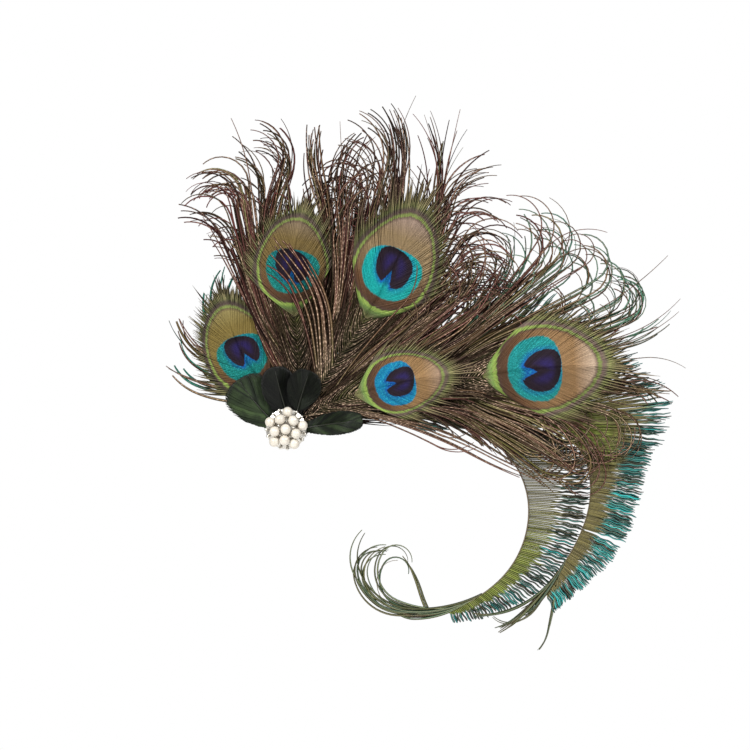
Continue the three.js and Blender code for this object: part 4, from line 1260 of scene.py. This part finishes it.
def leaf_barbs(rng, leaf, path, clear, pitch, wide, behind, green):
    """The barbs of a leaf on both sides of its stem, cut off at its rim."""
    roots, hand = both_sides(0.5, leaf["length"] - 0.3, pitch)
    count = len(roots)
    splay = 12 + 44 * (1 - roots / leaf["length"]) ** 1.6 + rng.normal(0, 1, count)
    leans = on_shaft(path, roots, "lean")[:, None] + (hand * splay)[:, None] * LEAF_BEND
    x, z, _ = from_shaft(path, roots, LEAF_LONGEST, leans, BEND_SHARES, 2 * LEAF_LONGEST + 1)
    along, across = beside_shaft(path, x, z, -1, leaf["length"] + 1)
    rim = leaf_half(leaf, along) * rng.uniform(0.97, 1.02, (count, 1)) - behind
    outside = (np.abs(across) > rim) | (along > leaf["length"] - behind)
    x, z = cut_off(x, z, outside, least=2, rings=LEAF_RINGS)
    marks = np.linspace(0, 1, LEAF_RINGS)
    _, across = beside_shaft(path, x, z, -1, leaf["length"] + 1)
    cup = LEAF_CUP * (across / (leaf["width"] / 2)) ** 2
    points = in_sheet(leaf["sheet"], x, z, cup - clear + behind)
    width = wide * (1 - 0.7 * smooth(marks, 0.85, 1)) * rng.uniform(0.9, 1.1, (count, 1))
    knots = np.arange(-2, leaf["length"] + FOLD_PITCH, FOLD_PITCH)
    fold_sheens = [np.interp(roots, knots, rng.random(len(knots)) ** 2) for _ in range(2)]
    return family(
        points, width, ridge=LEAF_RIDGE, twist=(hand * LEAF_TWIST)[:, None], tint=rng.random(count),
        green=green, fold=np.where(hand < 0, *fold_sheens),
    )


for number, (name, row) in enumerate(ROSETTE.items(), 1):
    leaf = dict(zip(LEAF_COLUMNS, row))
    rng = np.random.default_rng(300 + number)
    path = shaft_path((leaf["x"], leaf["z"], leaf["lean_root"]), [(leaf["length"], leaf["lean_tip"])])
    clear = ROSETTE_CLEAR + leaf["front"] * ROSETTE_STEP
    groups = [
        leaf_barbs(rng, leaf, path, clear, LEAF_PITCH, wide=0.5, behind=0.0, green=leaf["green"]),
        leaf_barbs(rng, leaf, path, clear, 4 * LEAF_PITCH, wide=2.2, behind=0.4, green=0.3 * leaf["green"]),
        quill_threads(path, leaf["sheet"], thick=0.9, thin=0.3, level=-0.25 - clear, slot=1),
    ]
    dress(thread_mesh(f"{name}_vane", groups, [rosette, black_quill]), name)

# %% [markdown]
# ## The pearl brooch
# Eleven pearls sit on a silver dome, with small silver balls between them. The frame gives the centre and
# size of each pearl. A pearl is never quite one colour, so its finish has a faint cloud of cream under a
# clear coat.


# %% Pearl and silver finishes
def pearl_finish(name):
    look = Finish(name)
    inputs = {
        "Base Color": look.noise(260).step(0.35, 0.65).mix(srgb(216, 210, 198), srgb(207, 199, 185)),
        "Roughness": look.noise(600).step(0.3, 0.7, 0.18, 0.26),
        "Coat Weight": 1.0,
        "Coat Roughness": 0.06,
        "Sheen Weight": 0.1,
        "Sheen Tint": srgb(255, 226, 214),
    }
    return look.settle(inputs, look.noise(500), 0.04, 0.0002)


def silver_finish(name):
    look = Finish(name)
    inputs = {
        "Base Color": look.noise(420).step(0.3, 0.7).mix(srgb(200, 196, 188), srgb(230, 227, 220)),
        "Roughness": look.noise(900).step(0.3, 0.7, 0.22, 0.34),
        "Metallic": 0.85,
    }
    return look.settle(inputs, look.noise(1500), 0.05)


pearl = pearl_finish("cream_pearl")
silver = silver_finish("polished_silver")
print("brooch finishes:", pearl.name, silver.name)


# %% Pearls
def ball_into(grid, centre, radius, sides, rings):
    bmesh.ops.create_uvsphere(
        grid, u_segments=sides, v_segments=rings, radius=radius, matrix=Matrix.Translation(centre)
    )


def mesh_piece(name, grid, finish):
    mesh = bpy.data.meshes.new(name)
    grid.to_mesh(mesh)
    grid.free()
    return shown(name, mesh, [finish])


pearl_nodes = sorted(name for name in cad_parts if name.startswith("pearl_"))
for name in pearl_nodes:
    low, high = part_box(name)
    grid = bmesh.new()
    ball_into(grid, (low + high) / 2, (high.y - low.y) / 2, sides=40, rings=24)
    dress(mesh_piece(f"{name}_bead", grid, pearl), name)
print("pearls:", len(pearl_nodes))

# %% [markdown]
# ## The silver setting
# The setting is a low dome with a flange round it and a short shank behind. They share one axis, so we turn
# one profile about it, as on a lathe, and get all three in one closed skin. The small balls are laid on in
# fives: a ring of single balls between the pearls, and pairs of balls at the rim.

# %% Brooch setting
BROOCH_X, BROOCH_Z = -9, -8.4
BROOCH_BACK_Y = -8.4
DOME_RADIUS = 12.8
DOME_RIM = 9.5
FLANGE_RADIUS = 11.4
FLANGE_THICKNESS = 1.2
FLANGE_ROUND = 0.3
SHANK_RADIUS = 4
SHANK_BACK_Y = -3.9
BALL_RADIUS = 1.0
BALL_SINK = 0.25
BALL_RING = 4.3
BALL_RING_TURN = 84
PAIR_RING = 11
PAIR_TURN = 48
PAIR_HALF_ANGLE = 10
FIFTH = 72
TINY = 0.05

flange_front = BROOCH_BACK_Y - FLANGE_THICKNESS
dome_y = flange_front + math.sqrt(DOME_RADIUS ** 2 - DOME_RIM ** 2)
angles = np.linspace(0.01, math.asin(DOME_RIM / DOME_RADIUS), 16)
profile = [
    *((DOME_RADIUS * math.sin(angle), dome_y - DOME_RADIUS * math.cos(angle)) for angle in angles),
    (FLANGE_RADIUS - FLANGE_ROUND, flange_front), (FLANGE_RADIUS, flange_front + FLANGE_ROUND),
    (FLANGE_RADIUS, BROOCH_BACK_Y - FLANGE_ROUND), (FLANGE_RADIUS - FLANGE_ROUND, BROOCH_BACK_Y),
    (SHANK_RADIUS, BROOCH_BACK_Y), (SHANK_RADIUS, SHANK_BACK_Y), (TINY, SHANK_BACK_Y),
]


def at_turn(centre_x, centre_z, radius, y, degrees):
    """A place on a circle about an axis along Y, in metres."""
    turn = math.radians(degrees)
    return Vector((centre_x + radius * math.cos(turn), y, centre_z + radius * math.sin(turn))) * MM


def turned(grid, centre_x, centre_z, profile, sides):
    """Turns a profile of (radius, y) about an axis along Y and closes both ends."""
    rings = []
    for radius, y in profile:
        places = (at_turn(centre_x, centre_z, radius, y, 360 * i / sides) for i in range(sides))
        rings.append([grid.verts.new(place) for place in places])
    for near, far in zip(rings, rings[1:]):
        for i in range(sides):
            grid.faces.new((near[i], near[(i + 1) % sides], far[(i + 1) % sides], far[i]))
    grid.faces.new(reversed(rings[0]))
    grid.faces.new(rings[-1])
    bmesh.ops.recalc_face_normals(grid, faces=grid.faces)


dome_out = dome_y - math.sqrt((DOME_RADIUS + BALL_RADIUS - BALL_SINK) ** 2 - BALL_RING ** 2)
flange_out = flange_front - BALL_RADIUS + BALL_SINK
balls = []
for i in range(5):
    balls.append((BALL_RING, dome_out, BALL_RING_TURN + FIFTH * i))
    balls.append((PAIR_RING, flange_out, PAIR_TURN + FIFTH * i - PAIR_HALF_ANGLE))
    balls.append((PAIR_RING, flange_out, PAIR_TURN + FIFTH * i + PAIR_HALF_ANGLE))

grid = bmesh.new()
turned(grid, BROOCH_X, BROOCH_Z, profile, sides=72)
for ball in balls:
    ball_into(grid, at_turn(BROOCH_X, BROOCH_Z, *ball), BALL_RADIUS * MM, sides=24, rings=14)
dress(mesh_piece("brooch_setting_silver", grid, silver), "brooch_setting")
print("silver balls:", len(balls))

# %% [markdown]
# ## The felt pad and the clip
# Behind the rosette a round felt pad takes the roots, and a flat steel clip is glued to it. Both are hidden
# from the front, but the back of the piece is seen when it is taken off. The pad gets short fibres on its
# back. The clip keeps its own solid, with a small bevel and brushed steel.


# %% Felt pad
def felt_finish(name):
    look = Finish(name)
    inputs = {
        "Base Color": look.noise(1800, 6.0).mix(srgb(16, 15, 14), srgb(44, 42, 40)),
        "Roughness": 0.95,
        "Sheen Weight": 0.4,
        "Sheen Roughness": 0.6,
    }
    return look.settle(inputs, look.noise(2600, 8.0), 0.6, 0.0003)


PAD_EDGE = [(0.5, 0.0), (0.1, 0.3)]

felt = felt_finish("black_felt")
low, high = (np.array(corner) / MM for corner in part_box("backing_pad"))
pad_x, pad_y, pad_z = (low + high) / 2
pad_front, pad_back = low[1], high[1]
pad_radius = (high[0] - low[0]) / 2
front_edge = [(pad_radius - inward, pad_front + deep) for inward, deep in PAD_EDGE]
back_edge = [(pad_radius - inward, pad_back - deep) for inward, deep in reversed(PAD_EDGE)]
pad_profile = [(TINY, pad_front), *front_edge, (pad_radius, pad_y), *back_edge, (TINY, pad_back)]
grid = bmesh.new()
turned(grid, pad_x, pad_z, pad_profile, sides=64)
dress(mesh_piece("backing_pad_felt", grid, felt), "backing_pad")
print("pad radius:", round(float(pad_radius), 1), "mm")

# %% Felt fibres
FIBRES = 1400
FIBRE_LENGTH = 1.1
FIBRE_WIDTH = 0.09
FIBRE_ARCH = 0.18
FIBRE_RINGS = 5

rng = np.random.default_rng(400)
out = pad_radius * np.sqrt(rng.random(FIBRES))
turn = rng.uniform(0, 2 * np.pi, FIBRES)
leans = rng.uniform(0, 360, FIBRES)[:, None] + rng.normal(0, 60, (FIBRES, 3))
x, z, marks = walk(
    pad_x + out * np.cos(turn), pad_z + out * np.sin(turn), FIBRE_LENGTH, leans, (0, 0.5, 1), FIBRE_RINGS
)
y = np.broadcast_to(pad_back + FIBRE_ARCH * np.sin(np.pi * marks), x.shape)
fibres = family(
    np.stack([x, y, z], axis=-1), FIBRE_WIDTH, twist=math.pi, front=0, back=0, tint=rng.random(FIBRES)
)
dress(thread_mesh("backing_pad_fuzz", [fibres], [felt]))


# %% Steel clip
BRUSH_TILT = -22
BRUSH_STRETCH = (40, 2500, 2500)
CLIP_BEVEL = 0.2


def steel_finish(name):
    look = Finish(name)
    node = look.tree.nodes.new("ShaderNodeMapping")
    stretch = {"Vector": look.place(), "Rotation": (0, math.radians(BRUSH_TILT), 0), "Scale": BRUSH_STRETCH}
    brushed = look.noise(1.0, 4.0, wired(look.tree, node, stretch, "Vector"))
    inputs = {
        "Base Color": brushed.mix(srgb(120, 120, 122), srgb(188, 188, 190)),
        "Roughness": brushed.step(0.3, 0.7, 0.26, 0.42),
        "Metallic": 1.0,
    }
    return look.settle(inputs, brushed, 0.1)


steel = steel_finish("brushed_steel")
hair_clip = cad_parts["hair_clip"]
hair_clip.data.materials.clear()
hair_clip.data.materials.append(steel)
bevel = hair_clip.modifiers.new("soft_edges", "BEVEL")
bevel.width = CLIP_BEVEL * MM
bevel.segments = 2
print("clip finish:", steel.name)

# %% [markdown]
# ## Sizes
# The dressed clip must not outgrow its solids, so we print both boxes.

# %% Sizes
visual_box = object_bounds()
boxes = {"cad": [list(corner) for corner in cad_box], "visual": [list(corner) for corner in visual_box]}
for name, corners in boxes.items():
    print(name, [[round(value, 4) for value in corner] for corner in corners])
